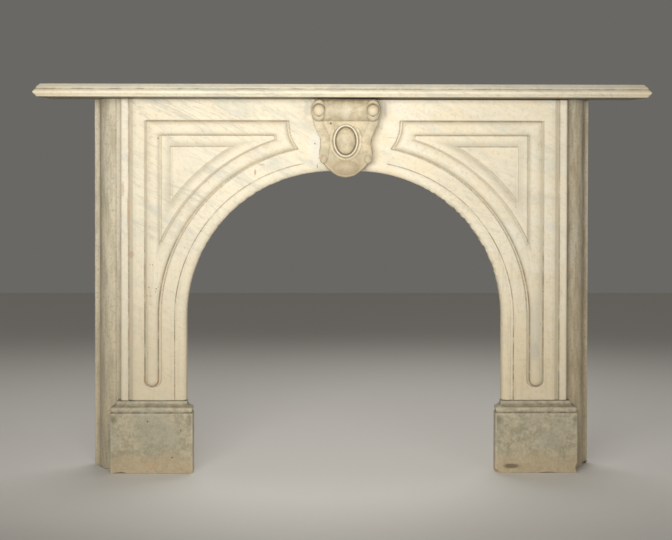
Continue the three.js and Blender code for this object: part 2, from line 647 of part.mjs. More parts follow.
function sideReturn() {
  const front = -SLAB_THICKNESS - GAP;
  const side = RETURN_START + QUARTER_ROUND;
  const inside = RETURN_SIDE - RETURN_THICKNESS;
  const round = along(ROLL_STEPS, (t) => {
    const angle = QUARTER_TURN * (1 - t);
    const reach = QUARTER_ROUND * Math.cos(angle);
    return v(RETURN_START + reach, QUARTER_ROUND * Math.sin(angle) - ROUND_TO_FACE);
  });
  const plan = [
    v(RETURN_START - RETURN_LAP, front),
    v(RETURN_START, front),
    ...round,
    v(side, -ROUND_TO_FACE - REAR_FILLET_SETBACK),
    v(RETURN_SIDE, -ROUND_TO_FACE - REAR_FILLET_SETBACK),
    v(RETURN_SIDE, -FACE_TO_WALL),
    v(inside, -FACE_TO_WALL),
    v(inside, -ROUND_TO_FACE),
    v(RETURN_START - RETURN_LAP, front - RETURN_THICKNESS),
  ];
  return upright(plan, 0, BODY_HEIGHT - GAP);
}

// The shelf's edge: (inset, height), from its underside up.
function shelfEdge() {
  const top = BODY_HEIGHT + SHELF_THICKNESS;
  const ogeeFoot = top - SHELF_OGEE_HEIGHT;
  const torusTop = ogeeFoot - SHELF_NECK_HEIGHT;
  const torusFoot = torusTop - SHELF_TORUS_HEIGHT;
  const fall = SHELF_TOP_INSET - SHELF_NECK_INSET;
  const torus = along(EDGE_STEPS, (t) => {
    return v(SHELF_TORUS_RISE * (1 - Math.sin(Math.PI * t)), torusFoot + SHELF_TORUS_HEIGHT * t);
  });
  const ogee = along(EDGE_STEPS, (t) => {
    const out = fall * Math.cos(QUARTER_TURN * t) ** SHELF_OGEE_HOLLOW;
    return v(SHELF_TOP_INSET - out, ogeeFoot + SHELF_OGEE_HEIGHT * t);
  });
  return [v(SHELF_FOOT_INSET, BODY_HEIGHT), ...torus, v(SHELF_QUIRK_INSET, torusTop), ...ogee];
}

function shelf() {
  return mouldedBlock(shelfEdge(), -SHELF_HALF_WIDTH, SHELF_HALF_WIDTH, -FACE_TO_WALL, SHELF_OVERHANG);
}

function placed(name, stone, color, roughness, x = 0) {
  const material = new THREE.MeshStandardMaterial({ color, roughness, metalness: 0 });
  const mesh = new THREE.Mesh(geometryOf(stone), material);
  mesh.name = name;
  mesh.position.x = x;
  return mesh;
}

const slab = archSlab();
const base = plinth();
const back = sideReturn();

const chimneypiece = new THREE.Group();
chimneypiece.rotation.x = QUARTER_TURN;
chimneypiece.position.y = (SHELF_OVERHANG - FACE_TO_WALL) / 2;

const face = new THREE.Group();
face.position.x = FACE_SHIFT;
face.add(
  placed("arch_slab_left", mirrored(slab), 0xe6dfcb, 0.5),
  placed("arch_slab_right", slab, 0xe6dfcb, 0.5),
  placed("keystone", keystone(), 0xd5c8ab, 0.55, KEY_SHIFT),
  placed("plinth_left", mirrored(base), 0xb7ae98, 0.6),
  placed("plinth_right", base, 0xb7ae98, 0.6),
);
chimneypiece.add(
  face,
  placed("shelf", shelf(), 0xe2dac3, 0.5),
  placed("return_left", mirrored(back), 0xcfc6b0, 0.55),
  placed("return_right", back, 0xcfc6b0, 0.55),
);

export default chimneypiece;
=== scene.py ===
# A white marble arched chimneypiece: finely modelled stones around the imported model, with worn
# arrises, chips and pits, veined and stained marble, studio light and the photograph's camera.
# Metres, +Z up, +Y into the wall.
import math
import random
from functools import partial

import bmesh
import bpy
import numpy as np
from mathutils import Matrix, Vector, noise
from mathutils.kdtree import KDTree


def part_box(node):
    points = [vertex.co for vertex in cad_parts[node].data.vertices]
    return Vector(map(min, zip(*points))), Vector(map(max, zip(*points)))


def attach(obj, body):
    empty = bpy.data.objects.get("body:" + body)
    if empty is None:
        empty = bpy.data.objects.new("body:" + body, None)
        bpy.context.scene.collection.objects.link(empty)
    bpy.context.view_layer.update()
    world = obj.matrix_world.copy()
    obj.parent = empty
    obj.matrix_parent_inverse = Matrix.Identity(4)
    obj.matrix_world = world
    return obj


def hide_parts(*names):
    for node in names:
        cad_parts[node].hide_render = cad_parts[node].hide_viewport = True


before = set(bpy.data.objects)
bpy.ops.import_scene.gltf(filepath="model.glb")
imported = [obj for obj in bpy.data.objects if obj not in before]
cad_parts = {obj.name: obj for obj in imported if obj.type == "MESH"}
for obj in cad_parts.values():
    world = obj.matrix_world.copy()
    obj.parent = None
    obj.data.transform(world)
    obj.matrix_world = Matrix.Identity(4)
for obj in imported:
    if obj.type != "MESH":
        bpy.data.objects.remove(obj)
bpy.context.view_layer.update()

# Places of the stones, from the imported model
SLAB_LOW, SLAB_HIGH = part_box("arch_slab_right")
LEFT_LOW, LEFT_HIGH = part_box("arch_slab_left")
PLINTH_LOW, PLINTH_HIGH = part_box("plinth_right")
KEY_LOW, KEY_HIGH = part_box("keystone")
SHELF_LOW, SHELF_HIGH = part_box("shelf")
RETURN_LOW, RETURN_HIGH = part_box("return_right")
FACE_X = (SLAB_HIGH[0] + LEFT_LOW[0]) / 2
FACE_Y = SLAB_LOW[1]
SLAB_BACK = SLAB_HIGH[1]
SLAB_TOP = SLAB_HIGH[2]
SLAB_FOOT = SLAB_LOW[2]
SLAB_HALF_WIDTH = SLAB_HIGH[0] - FACE_X
SHELF_FOOT = SHELF_LOW[2]

# Opening
LEG_WIDTH = 0.200
CROWN_HALF_FLAT = 0.042
SPRINGING = 0.473
OPENING_HALF_WIDTH = SLAB_HALF_WIDTH - LEG_WIDTH
HAUNCH_RADIUS = OPENING_HALF_WIDTH - CROWN_HALF_FLAT
CROWN = SPRINGING + HAUNCH_RADIUS
JOINT = SLAB_LOW[0] - FACE_X

# Mouldings along the opening and the outer edge
EDGE_ROLL_WIDTH = 0.018
EDGE_ROLL_DEPTH = 0.014
EDGE_GROOVE_OFFSET = 0.030
EDGE_GROOVE_HALF = 0.0022
EDGE_GROOVE_DEPTH = 0.0045
EDGE_GROOVE_END = 0.124
SPLAY_WIDTH = 0.015
SPLAY_DEPTH = 0.003
BEAD_WIDTH = 0.029
BEAD_QUIRK_WIDTH = 0.0035
BEAD_QUIRK_DEPTH = 0.007
BEAD_ARRIS = 0.003
BEAD_ROUNDING = 0.007

# Sunk panel with its roll, and the raised triangle in the spandrel
PANEL_OFFSET = 0.0767
PANEL_TOP = SHELF_FOOT - 0.067
FLUTE_MARGIN = 0.040
PANEL_END_X = 0.0535
PANEL_END_DROP = 0.010
PANEL_END_RADIUS = 0.120
CHANNEL_WIDTH = 0.046
CHANNEL_DEPTH = 0.009
ROLL_CREST_DEPTH = 0.0015
ROLL_QUIRK = 0.001
ROLL_FILLET = 0.002
ROLL_TURN = 0.86 * math.pi
TRIANGLE_DEPTH = 0.0006
BAND_WIDTH = 0.0335
BAND_ARRIS = 0.006
BAND_DEPTH = 0.007
FIELD_QUIRK = 0.0012
FIELD_DEPTH = 0.0034
FIELD_RISE = 0.003
FIELD_SLOPE_WIDTH = 0.044
PANEL_HALF_WIDTH = OPENING_HALF_WIDTH + PANEL_OFFSET + CHANNEL_WIDTH
FLUTE_RADIUS = CHANNEL_WIDTH / 2

# Keystone. Its side and its tongue are (half width, level), the level as a share of its height.
KEY_FOOT = KEY_LOW[2]
KEY_MIDDLE = (KEY_LOW[0] + KEY_HIGH[0]) / 2
KEY_THICKNESS = 0.046
KEY_EDGE = 0.012
KEY_SHOULDER = 0.102
KEY_SHOULDER_LEVEL = 0.846
KEY_TOP_HALF_WIDTH = 0.090
KEY_SIDE = ((0.0955, 0.665), (0.077, 0.483), (0.080, 0.3125))
KEY_LOBE_FOOT = (0.077, 0.2)
KEY_TONGUE = ((0.068, 0.175), (0.052, 0.104), (0.026, 0.025))
SCROLL_RADIUS = 0.034
SCROLL_CENTRE = 0.034
SCROLL_LEVEL = KEY_FOOT + KEY_SHOULDER_LEVEL * (SHELF_FOOT - KEY_FOOT)
VOLUTE_SPREAD = 0.081
VOLUTE_HALF_WIDTH = 0.024
VOLUTE_HALF_HEIGHT = 0.033
VOLUTE_FRONT = 0.070
VOLUTE_RIM = 0.012
VOLUTE_BEVEL = 0.004
VOLUTE_DISH = 0.009
BUTTON_RADIUS = 0.017
BUTTON_RISE = 0.009
KNOB_RADIUS = 0.0195
EGG_LEVEL = 0.4625
EGG_HALF_WIDTH = 0.029
EGG_HALF_LENGTH = 0.040
EGG_RISE = 0.015
RING_OFFSET = 0.0060
RING_WIDTH = 0.007
RING_RISE = 0.0055
COVE_OFFSET = 0.0160
COVE_OPENING = 0.9
COVE_WIDTH = 0.008
COVE_RISE = 0.0025
STRAP_INSET = 0.015
STRAP_WIDTH = 0.027
STRAP_RISE = 0.0042
CURL_SPREAD = 0.067
CURL_LEVEL = 0.24
CURL_HALF_WIDTH = 0.011
CURL_HALF_HEIGHT = 0.014
CURL_RISE = 0.007
SWELL_HALF_WIDTH = 0.046
SWELL_HALF_HEIGHT = 0.026
SWELL_LEVEL = 0.125
SWELL_RISE = 0.016
SWELL_SINK = 0.008

# Plinths' cap, returns and the shelf's edge
CAP_FILLET_INSET = 0.018
CAP_FILLET_HEIGHT = 0.006
CAP_HOLLOW_HEIGHT = 0.011
CAP_TORUS_INSET = 0.0015
CAP_TORUS_HEIGHT = 0.015
CAP_GROOVE_INSET = 0.004
CAP_GROOVE_HEIGHT = 0.004
QUARTER_ROUND = 0.058
REAR_FILLET_WIDTH = 0.020
REAR_FILLET_SETBACK = 0.023
REAR_FILLET_DEPTH = 0.028
RETURN_THICKNESS = 0.042
SHELF_TOP_INSET = 0.019
SHELF_OGEE_HEIGHT = 0.014
SHELF_OGEE_HOLLOW = 1.5
SHELF_NECK_INSET = 0.008
SHELF_NECK_HEIGHT = 0.002
SHELF_QUIRK_INSET = 0.010
SHELF_TORUS_HEIGHT = 0.018
SHELF_TORUS_RISE = 0.007
SHELF_FOOT_INSET = 0.010

# Fineness of the modelled stones
ARC_STEP = math.radians(1.5)
ROUND_STEPS = 10
ROLL_STEPS = 20
FLUTE_STEPS = 24
SLAB_VOXEL = 0.0022
KEY_VOXEL = 0.0010
PLINTH_VOXEL = 0.0022
SHELF_VOXEL = 0.0024
KEY_STEPS = 48
EGG_STEPS = 72
SPHERE_SEGMENTS = 64
SPHERE_RINGS = 40
SCROLL_SEGMENTS = 120
SLAB_TRIANGLES = 170000
KEY_TRIANGLES = 150000
SHELF_TRIANGLES = 130000
BLOCK_TRIANGLES = 60000
TOUCHING = 1e-6
OVERCUT = 0.005
SINK = 0.0005
DRY_JOINT = 0.0003
CARVING_BASE = KEY_THICKNESS - SINK

HAUNCH = (CROWN_HALF_FLAT, SPRINGING)
END = (PANEL_END_X, PANEL_TOP - PANEL_END_DROP)
FLUTE_FOOT = (PANEL_HALF_WIDTH - FLUTE_RADIUS, SLAB_FOOT + FLUTE_MARGIN + FLUTE_RADIUS)


def along(steps, at):
    return [at(i / steps) for i in range(steps + 1)]


def on_circle(centre, radius, angle):
    return (centre[0] + radius * math.cos(angle), centre[1] + radius * math.sin(angle))


def arc(centre, start, end):
    """Points on a circle about a centre, from one of its points to another."""
    radius = math.dist(centre, start)
    first = math.atan2(start[1] - centre[1], start[0] - centre[0])
    last = math.atan2(end[1] - centre[1], end[0] - centre[0])
    steps = max(2, round(abs(last - first) / ARC_STEP))
    middle = along(steps, lambda t: on_circle(centre, radius, first + (last - first) * t))[1:-1]
    return [start, *middle, end]


def haunch_height(radius, x):
    return SPRINGING + math.sqrt(radius ** 2 - (x - CROWN_HALF_FLAT) ** 2)


def haunch_reach(radius, z):
    return CROWN_HALF_FLAT + math.sqrt(radius ** 2 - (z - SPRINGING) ** 2)


def circles_meet(radius, end_radius):
    """Lower point where a circle about the haunch's centre meets one about the hollow end's."""
    across = Vector(END) - Vector(HAUNCH)
    apart = across.length
    towards = (radius ** 2 - end_radius ** 2 + apart ** 2) / (2 * apart)
    aside = math.sqrt(radius ** 2 - towards ** 2)
    unit = across / apart
    return (HAUNCH[0] + towards * unit.x + aside * unit.y, HAUNCH[1] + towards * unit.y - aside * unit.x)


def rounding(width, depth):
    """A quarter of an ellipse that rounds off an edge: (distance from the edge, rise)."""
    def at(t):
        angle = math.pi / 2 * t
        return (width * (1 - math.cos(angle)), -depth * (1 - math.sin(angle)))
    return along(ROUND_STEPS, at)


def piece_of(bm, name):
    """A bmesh as an object, with its faces pointing out."""
    bmesh.ops.remove_doubles(bm, verts=bm.verts, dist=TOUCHING)
    bmesh.ops.recalc_face_normals(bm, faces=bm.faces)
    mesh = bpy.data.meshes.new(name)
    bm.to_mesh(mesh)
    bm.free()
    piece = bpy.data.objects.new(name, mesh)
    bpy.context.collection.objects.link(piece)
    return piece


def prism(outline, low, high, name="prism"):
    """An outline in the face's plane, (x, z), as a solid from rise low to rise high."""
    bm = bmesh.new()
    face = bm.faces.new([bm.verts.new((x, FACE_Y - low, z)) for x, z in outline])
    grown = bmesh.ops.extrude_face_region(bm, geom=[face])["geom"]
    top = [item for item in grown if isinstance(item, bmesh.types.BMVert)]
    bmesh.ops.translate(bm, verts=top, vec=(0, low - high, 0))
    return piece_of(bm, name)


def lofted(rings, name):
    """A solid through rings of points, by drawing one face on from ring to ring."""
    bm = bmesh.new()
    ring = [bm.verts.new(place) for place in rings[0]]
    face = bm.faces.new(ring)
    for i, places in enumerate(rings[1:]):
        grown = bmesh.ops.extrude_face_region(bm, geom=[face])["geom"]
        if i:
            bmesh.ops.delete(bm, geom=[face], context="FACES_ONLY")
        face = next(item for item in grown if isinstance(item, bmesh.types.BMFace))
        fresh = set(face.verts)
        ring = [next(e.other_vert(v) for e in v.link_edges if e.other_vert(v) in fresh) for v in ring]
        for vert, place in zip(ring, places):
            vert.co = place
    return piece_of(bm, name)


def sweep(profile, path):
    """A closed profile, (offset to the left, rise), along a path, (x, z), with mitred corners."""
    def left(a, b):
        return Vector((a[1] - b[1], b[0] - a[0])).normalized()

    def ring_at(i):
        after = left(path[i], path[i + 1]) if i < len(path) - 1 else left(path[i - 1], path[i])
        before = left(path[i - 1], path[i]) if i else after
        mitre = (before + after) / (1 + before.dot(after))
        x, z = path[i]
        return [(x + mitre.x * offset, FACE_Y - rise, z + mitre.y * offset) for offset, rise in profile]

    return lofted([ring_at(i) for i in range(len(path))], "sweep")


def upright(profile, low, high):
    """A profile (x, rise) run upwards."""
    return sweep([(-x, rise) for x, rise in profile], [(0, low), (0, high)])


def level(profile, start, end):
    """A profile (z, rise) run from left to right."""
    return sweep(profile, [(start, 0), (end, 0)])


def turned(profile, centre):
    """A closed profile (radius, rise) spun about an axis through a centre, out of the face."""
    bm = bmesh.new()
    verts = [bm.verts.new((centre[0] + radius, FACE_Y - rise, centre[1])) for radius, rise in profile]
    edges = [bm.edges.new(pair) for pair in zip(verts, verts[1:])]
    if profile[0][0] and profile[-1][0]:
        edges.append(bm.edges.new((verts[-1], verts[0])))
    bmesh.ops.spin(
        bm, geom=[*verts, *edges], cent=(centre[0], 0, centre[1]), axis=(0, 1, 0),
        angle=2 * math.pi, steps=round(2 * math.pi / ARC_STEP), use_merge=True,
    )
    return piece_of(bm, "turned")


def baked(piece):
    """Applies a piece's modifiers to its mesh."""
    graph = bpy.context.evaluated_depsgraph_get()
    mesh = bpy.data.meshes.new_from_object(piece.evaluated_get(graph))
    piece.modifiers.clear()
    old, piece.data = piece.data, mesh
    bpy.data.meshes.remove(old)
    return piece


def discard(piece):
    mesh = piece.data
    bpy.data.objects.remove(piece)
    bpy.data.meshes.remove(mesh)


def combined(piece, others, operation):
    for other in others:
        modifier = piece.modifiers.new("combine", "BOOLEAN")
        modifier.operation = operation
        modifier.solver = "EXACT"
        modifier.object = other
        baked(piece)
        discard(other)
    return piece


def cut(piece, *others):
    return combined(piece, others, "DIFFERENCE")


def join(piece, *others):
    return combined(piece, others, "UNION")


def common(piece, *others):
    return combined(piece, others, "INTERSECT")


def opening_path(offset, end_x):
    radius = HAUNCH_RADIUS + offset
    side = OPENING_HALF_WIDTH + offset
    stop = max(end_x, CROWN_HALF_FLAT)
    over = arc(HAUNCH, (side, SPRINGING), (stop, haunch_height(radius, stop)))
    crown = [(end_x, CROWN + offset)] if end_x < CROWN_HALF_FLAT else []
    return [(side, SLAB_FOOT - OVERCUT), *over, *crown]


def opening_cutters():
    curve = [(-x, rise) for x, rise in rounding(EDGE_ROLL_WIDTH, EDGE_ROLL_DEPTH)]
    roll = [(OVERCUT, OVERCUT), (OVERCUT, -EDGE_ROLL_DEPTH), *curve, (-EDGE_ROLL_WIDTH, OVERCUT)]
    half = EDGE_GROOVE_HALF
    groove = [(-half, OVERCUT), (-half, 0), (0, -EDGE_GROOVE_DEPTH), (half, 0), (half, OVERCUT)]
    return [
        sweep(roll, opening_path(0, -OVERCUT)),
        sweep(groove, opening_path(EDGE_GROOVE_OFFSET, EDGE_GROOVE_END)),
    ]


def outer_edge_cutters():
    bead = SLAB_HALF_WIDTH - BEAD_WIDTH
    quirk = bead - BEAD_QUIRK_WIDTH
    splay = [
        (quirk - SPLAY_WIDTH, OVERCUT), (quirk - SPLAY_WIDTH, 0), (quirk, -SPLAY_DEPTH),
        (quirk, -BEAD_QUIRK_DEPTH), (bead, -BEAD_QUIRK_DEPTH), (bead + BEAD_ARRIS, 0),
        (bead + BEAD_ARRIS, OVERCUT),
    ]
    curve = [(SLAB_HALF_WIDTH - x, rise) for x, rise in rounding(BEAD_ROUNDING, BEAD_ROUNDING)]
    outside = SLAB_HALF_WIDTH + OVERCUT
    corner = [(outside, OVERCUT), (outside, -BEAD_ROUNDING), *curve, (curve[-1][0], OVERCUT)]
    return [upright(profile, 0, SLAB_TOP + OVERCUT) for profile in (splay, corner)]


def panel_corners(inset):
    radius = HAUNCH_RADIUS + PANEL_OFFSET + inset
    end_radius = PANEL_END_RADIUS + inset
    top = PANEL_TOP - inset
    reach = math.sqrt(end_radius ** 2 - (top - END[1]) ** 2)
    outer_top = (PANEL_HALF_WIDTH - inset, top)
    springing = (CROWN_HALF_FLAT + radius, SPRINGING)
    return radius, outer_top, (END[0] + reach, top), circles_meet(radius, end_radius), springing


def panel_outline():
    _, outer_top, end_top, tip, springing = panel_corners(0)
    foot = along(FLUTE_STEPS, lambda t: on_circle(FLUTE_FOOT, FLUTE_RADIUS, math.pi * (1 + t)))
    return [*foot, outer_top, *arc(END, end_top, tip), *arc(HAUNCH, tip, springing)[1:]]


def triangle_outline():
    radius, outer_top, end_top, tip, _ = panel_corners(CHANNEL_WIDTH)
    low_tip = (outer_top[0], haunch_height(radius, outer_top[0]))
    return [outer_top, end_top, *arc(HAUNCH, tip, low_tip)]


def field_outline(inset):
    radius, outer_top, _, _, _ = panel_corners(inset)
    top_tip = (haunch_reach(radius, outer_top[1]), outer_top[1])
    low_tip = (outer_top[0], haunch_height(radius, outer_top[0]))
    return [outer_top, *arc(HAUNCH, top_tip, low_tip)]


def side_cutters(inset, surface):
    """One cutter a side of the triangle, for what stands in front of a (distance in, rise)."""
    radius, outer_top, _, _, _ = panel_corners(inset)
    profile = [(surface[0][0], OVERCUT), *surface, (surface[-1][0], OVERCUT)]
    return [
        level([(outer_top[1] - x, rise) for x, rise in profile], 0, SLAB_HALF_WIDTH),
        upright([(outer_top[0] - x, rise) for x, rise in profile], SPRINGING, SHELF_FOOT),
        turned([(radius + x, rise) for x, rise in profile], HAUNCH),
    ]


def roll_profile():
    side = FLUTE_RADIUS - ROLL_QUIRK
    half = side - ROLL_FILLET / 2
    rise = CHANNEL_DEPTH - ROLL_CREST_DEPTH
    curve = along(ROLL_STEPS, lambda t: (
        side - half + half * math.cos(ROLL_TURN * t), rise * math.sin(ROLL_TURN * t) - CHANNEL_DEPTH,
    ))
    floor = -CHANNEL_DEPTH - SINK
    return [(side, floor), *curve, (-side, -CHANNEL_DEPTH + ROLL_QUIRK), (-side, floor)]


def roll_dome():
    radius = FLUTE_RADIUS - ROLL_QUIRK
    rise = CHANNEL_DEPTH - ROLL_CREST_DEPTH
    floor = -CHANNEL_DEPTH - SINK
    curve = along(
        ROUND_STEPS,
        lambda t: (radius * math.cos(math.pi / 2 * t), rise * math.sin(math.pi / 2 * t) - CHANNEL_DEPTH),
    )[:-1]
    return turned([(0, floor), (radius, floor), *curve, (0, -ROLL_CREST_DEPTH)], FLUTE_FOOT)


def rolls():
    _, outer_top, end_top, tip, springing = panel_corners(FLUTE_RADIUS)
    end = arc(END, end_top, tip)
    haunch = arc(HAUNCH, tip, springing)
    there = [FLUTE_FOOT, outer_top, *end, haunch[1]]
    back = [end[-2], *haunch, FLUTE_FOOT]
    return [sweep(roll_profile(), there), sweep(roll_profile(), back), roll_dome()]


def triangle_block():
    return prism(triangle_outline(), -CHANNEL_DEPTH - SINK, 2 * OVERCUT)


def band_cutter():
    fall = rounding(BAND_WIDTH - BAND_ARRIS, BAND_DEPTH - TRIANGLE_DEPTH)[::-1]
    band = [(BAND_WIDTH - x, rise - TRIANGLE_DEPTH) for x, rise in fall]
    surface = [(-OVERCUT, -TRIANGLE_DEPTH), *band, (SLAB_HALF_WIDTH, -BAND_DEPTH)]
    return common(triangle_block(), *side_cutters(CHANNEL_WIDTH, surface))


def pyramid():
    inset = CHANNEL_WIDTH + BAND_WIDTH + FIELD_QUIRK
    slope = FIELD_RISE / FIELD_SLOPE_WIDTH
    pitch = [(-OVERCUT, -FIELD_DEPTH - OVERCUT * slope), (FIELD_DEPTH / slope, 0)]
    return cut(prism(field_outline(inset), -BAND_DEPTH - SINK, 0), *side_cutters(inset, pitch))


def slab_form():
    over = arc(HAUNCH, (OPENING_HALF_WIDTH, SPRINGING), (CROWN_HALF_FLAT, CROWN))
    outline = [
        (JOINT, CROWN), (JOINT, SLAB_TOP), (SLAB_HALF_WIDTH, SLAB_TOP),
        (SLAB_HALF_WIDTH, SLAB_FOOT), (OPENING_HALF_WIDTH, SLAB_FOOT), *over,
    ]
    slab = prism(outline, FACE_Y - SLAB_BACK, 0, "slab")
    channel = cut(prism(panel_outline(), -CHANNEL_DEPTH, OVERCUT), triangle_block())
    cut(slab, channel, *opening_cutters(), *outer_edge_cutters(), band_cutter())
    return join(slab, *rolls(), pyramid())


def spline(points, steps):
    """A smooth curve through points, uniform Catmull-Rom."""
    last = len(points) - 1

    def at(t):
        place = last * t
        i = min(int(place), last - 1)
        w = place - i
        a, b, c, d = (points[min(max(k, 0), last)] for k in (i - 1, i, i + 1, i + 2))
        return tuple(
            q + w * ((r - p) / 2 + w * (p - 2.5 * q + 2 * r - s / 2 + w * (1.5 * (q - r) + (s - p) / 2)))
            for p, q, r, s in zip(a, b, c, d)
        )
    return along(steps, at)


def raised(outline, stations):
    """A counter-clockwise outline as a solid through (inset, rise) stations."""
    def inwards(i):
        point, after = Vector(outline[i]), Vector(outline[(i + 1) % len(outline)])
        first = (point - Vector(outline[i - 1])).normalized()
        second = (after - point).normalized()
        return Vector((-first.y - second.y, first.x + second.x)) / (1 + first.dot(second))

    ways = [inwards(i) for i in range(len(outline))]

    def ring_at(inset, rise):
        return [(x + w.x * inset, FACE_Y - rise, z + w.y * inset) for (x, z), w in zip(outline, ways)]

    return lofted([ring_at(*station) for station in stations], "raised")


def ellipsoid(half_width, half_height, rise, centre, base):
    bm = bmesh.new()
    bmesh.ops.create_uvsphere(bm, u_segments=SPHERE_SEGMENTS, v_segments=SPHERE_RINGS, radius=1)
    bmesh.ops.scale(bm, verts=bm.verts, vec=(half_width, rise, half_height))
    bmesh.ops.translate(bm, verts=bm.verts, vec=(centre[0], FACE_Y - base, centre[1]))
    return piece_of(bm, "ellipsoid")


def merged(first, *others):
    """Overlapping closed pieces in one mesh. The remesh that follows makes them one stone."""
    bm = bmesh.new()
    bm.from_mesh(first.data)
    for other in others:
        bm.from_mesh(other.data)
        discard(other)
    bm.to_mesh(first.data)
    bm.free()
    return first


def key_level(share):
    return KEY_FOOT + share * (SHELF_FOOT - KEY_FOOT)


def key_points(outline):
    return [(x, key_level(share)) for x, share in outline]


def key_plate():
    top = (KEY_TOP_HALF_WIDTH, KEY_HIGH[2])
    shoulder = (KEY_SHOULDER, SCROLL_LEVEL)
    side = spline([top, shoulder, *key_points([*KEY_SIDE, KEY_LOBE_FOOT])], KEY_STEPS)
    tongue = spline([*key_points(KEY_TONGUE), (0, KEY_FOOT)], KEY_STEPS)
    right = [*side, *tongue][::-1]
    left = [(-x, z) for x, z in right[1:]][::-1]
    edge = along(ROUND_STEPS, lambda t: (
        KEY_EDGE / 2 * (1 - math.cos(math.pi / 2 * t)),
        KEY_THICKNESS - KEY_EDGE * (1 - math.sin(math.pi / 2 * t)),
    ))
    return raised([*left, *right], [(0, DRY_JOINT), *edge])


def volute(side):
    dish = VOLUTE_FRONT - VOLUTE_DISH
    eye = (side * VOLUTE_SPREAD, SCROLL_LEVEL)
    profile = [
        (0, DRY_JOINT), (VOLUTE_HALF_HEIGHT, DRY_JOINT),
        (VOLUTE_HALF_HEIGHT, VOLUTE_FRONT - VOLUTE_RIM),
        (VOLUTE_HALF_HEIGHT - VOLUTE_BEVEL, VOLUTE_FRONT - VOLUTE_BEVEL),
        (VOLUTE_HALF_HEIGHT - VOLUTE_RIM, VOLUTE_FRONT), (BUTTON_RADIUS, dish), (0, dish),
    ]
    disc = turned(profile, eye)
    narrow = VOLUTE_HALF_WIDTH / VOLUTE_HALF_HEIGHT
    back = Matrix.Translation((eye[0] * (1 - narrow), 0, 0))
    disc.data.transform(back @ Matrix.Diagonal((narrow, 1, 1, 1)))
    return [disc, ellipsoid(KNOB_RADIUS, KNOB_RADIUS, VOLUTE_DISH + BUTTON_RISE, eye, dish)]


def scroll():
    bm = bmesh.new()
    length = 2 * VOLUTE_SPREAD - VOLUTE_HALF_WIDTH
    bmesh.ops.create_cone(
        bm, cap_ends=True, segments=SCROLL_SEGMENTS, radius1=SCROLL_RADIUS, radius2=SCROLL_RADIUS,
        depth=length,
    )
    bmesh.ops.rotate(bm, verts=bm.verts, matrix=Matrix.Rotation(math.pi / 2, 3, "Y"))
    bmesh.ops.translate(bm, verts=bm.verts, vec=(0, FACE_Y - SCROLL_CENTRE, SCROLL_LEVEL))
    return piece_of(bm, "scroll")


def key_bead(path, width, rise):
    curve = along(ROUND_STEPS * 2, lambda t: (
        width / 2 * math.cos(math.pi * t), CARVING_BASE + rise * math.sin(math.pi * t),
    ))
    floor = CARVING_BASE - KEY_EDGE
    return sweep([*curve, (-width / 2, floor), (width / 2, floor)], path)


def strap(side):
    curl = (side * CURL_SPREAD, key_level(CURL_LEVEL))
    middle = [(KEY_SHOULDER, SCROLL_LEVEL - VOLUTE_HALF_HEIGHT / 2), *key_points(KEY_SIDE)]
    path = spline([*((side * (x - STRAP_INSET), z) for x, z in middle), curl], KEY_STEPS)
    end = ellipsoid(CURL_HALF_WIDTH, CURL_HALF_HEIGHT, CURL_RISE, curl, CARVING_BASE)
    return [key_bead(path, STRAP_WIDTH, STRAP_RISE), end]


def egg_line(offset, opening, width, rise):
    def at(t):
        angle = math.pi / 2 + opening + 2 * (math.pi - opening) * t
        across = EGG_HALF_WIDTH + offset
        length = EGG_HALF_LENGTH + offset
        return (across * math.cos(angle), key_level(EGG_LEVEL) + length * math.sin(angle))
    return key_bead(along(EGG_STEPS, at), width, rise)


def keystone_form():
    centre = (0, key_level(EGG_LEVEL))
    foot = (0, key_level(SWELL_LEVEL))
    form = merged(
        key_plate(), scroll(), *volute(-1), *volute(1), *strap(-1), *strap(1),
        ellipsoid(EGG_HALF_WIDTH, EGG_HALF_LENGTH, EGG_RISE, centre, CARVING_BASE),
        egg_line(RING_OFFSET, 0, RING_WIDTH, RING_RISE),
        egg_line(COVE_OFFSET, COVE_OPENING, COVE_WIDTH, COVE_RISE),
        ellipsoid(SWELL_HALF_WIDTH, SWELL_HALF_HEIGHT, SWELL_RISE, foot, CARVING_BASE - SWELL_SINK),
    )
    form.data.transform(Matrix.Translation((KEY_MIDDLE, 0, 0)))
    return form


def plinth_edge():
    """(inset from the block, height), from the floor up."""
    hollow = PLINTH_HIGH[2] - CAP_FILLET_HEIGHT - CAP_HOLLOW_HEIGHT
    torus = hollow - CAP_TORUS_HEIGHT
    groove = torus - CAP_GROOVE_HEIGHT
    swell = CAP_GROOVE_INSET - CAP_TORUS_INSET
    depth = CAP_FILLET_INSET - CAP_GROOVE_INSET
    bulge = along(ROUND_STEPS, lambda t: (
        CAP_GROOVE_INSET - swell * math.sin(math.pi * t), torus + CAP_TORUS_HEIGHT * t,
    ))
    cove = along(ROUND_STEPS, lambda t: (
        CAP_GROOVE_INSET + depth * math.sin(math.pi / 2 * t),
        hollow + CAP_HOLLOW_HEIGHT * (1 - math.cos(math.pi / 2 * t)),
    ))
    return [
        (0, 0), (0, groove), (CAP_GROOVE_INSET, groove), *bulge, *cove[1:],
        (CAP_FILLET_INSET, PLINTH_HIGH[2]),
    ]


def moulded_block(edge, low, high):
    """A block with an edge profile, (inset, height), along its front and on both ends."""
    front = FACE_Y - low[1]
    back = FACE_Y - high[1]
    section = [(z, front - inset) for inset, z in edge]
    run = level([*section, (edge[-1][1], back), (edge[0][1], back)], low[0], high[0])
    right = [(high[0] - inset, z) for inset, z in edge]
    left = [(low[0] + inset, z) for inset, z in edge[::-1]]
    return common(run, prism([*right, *left], back - OVERCUT, front + OVERCUT))


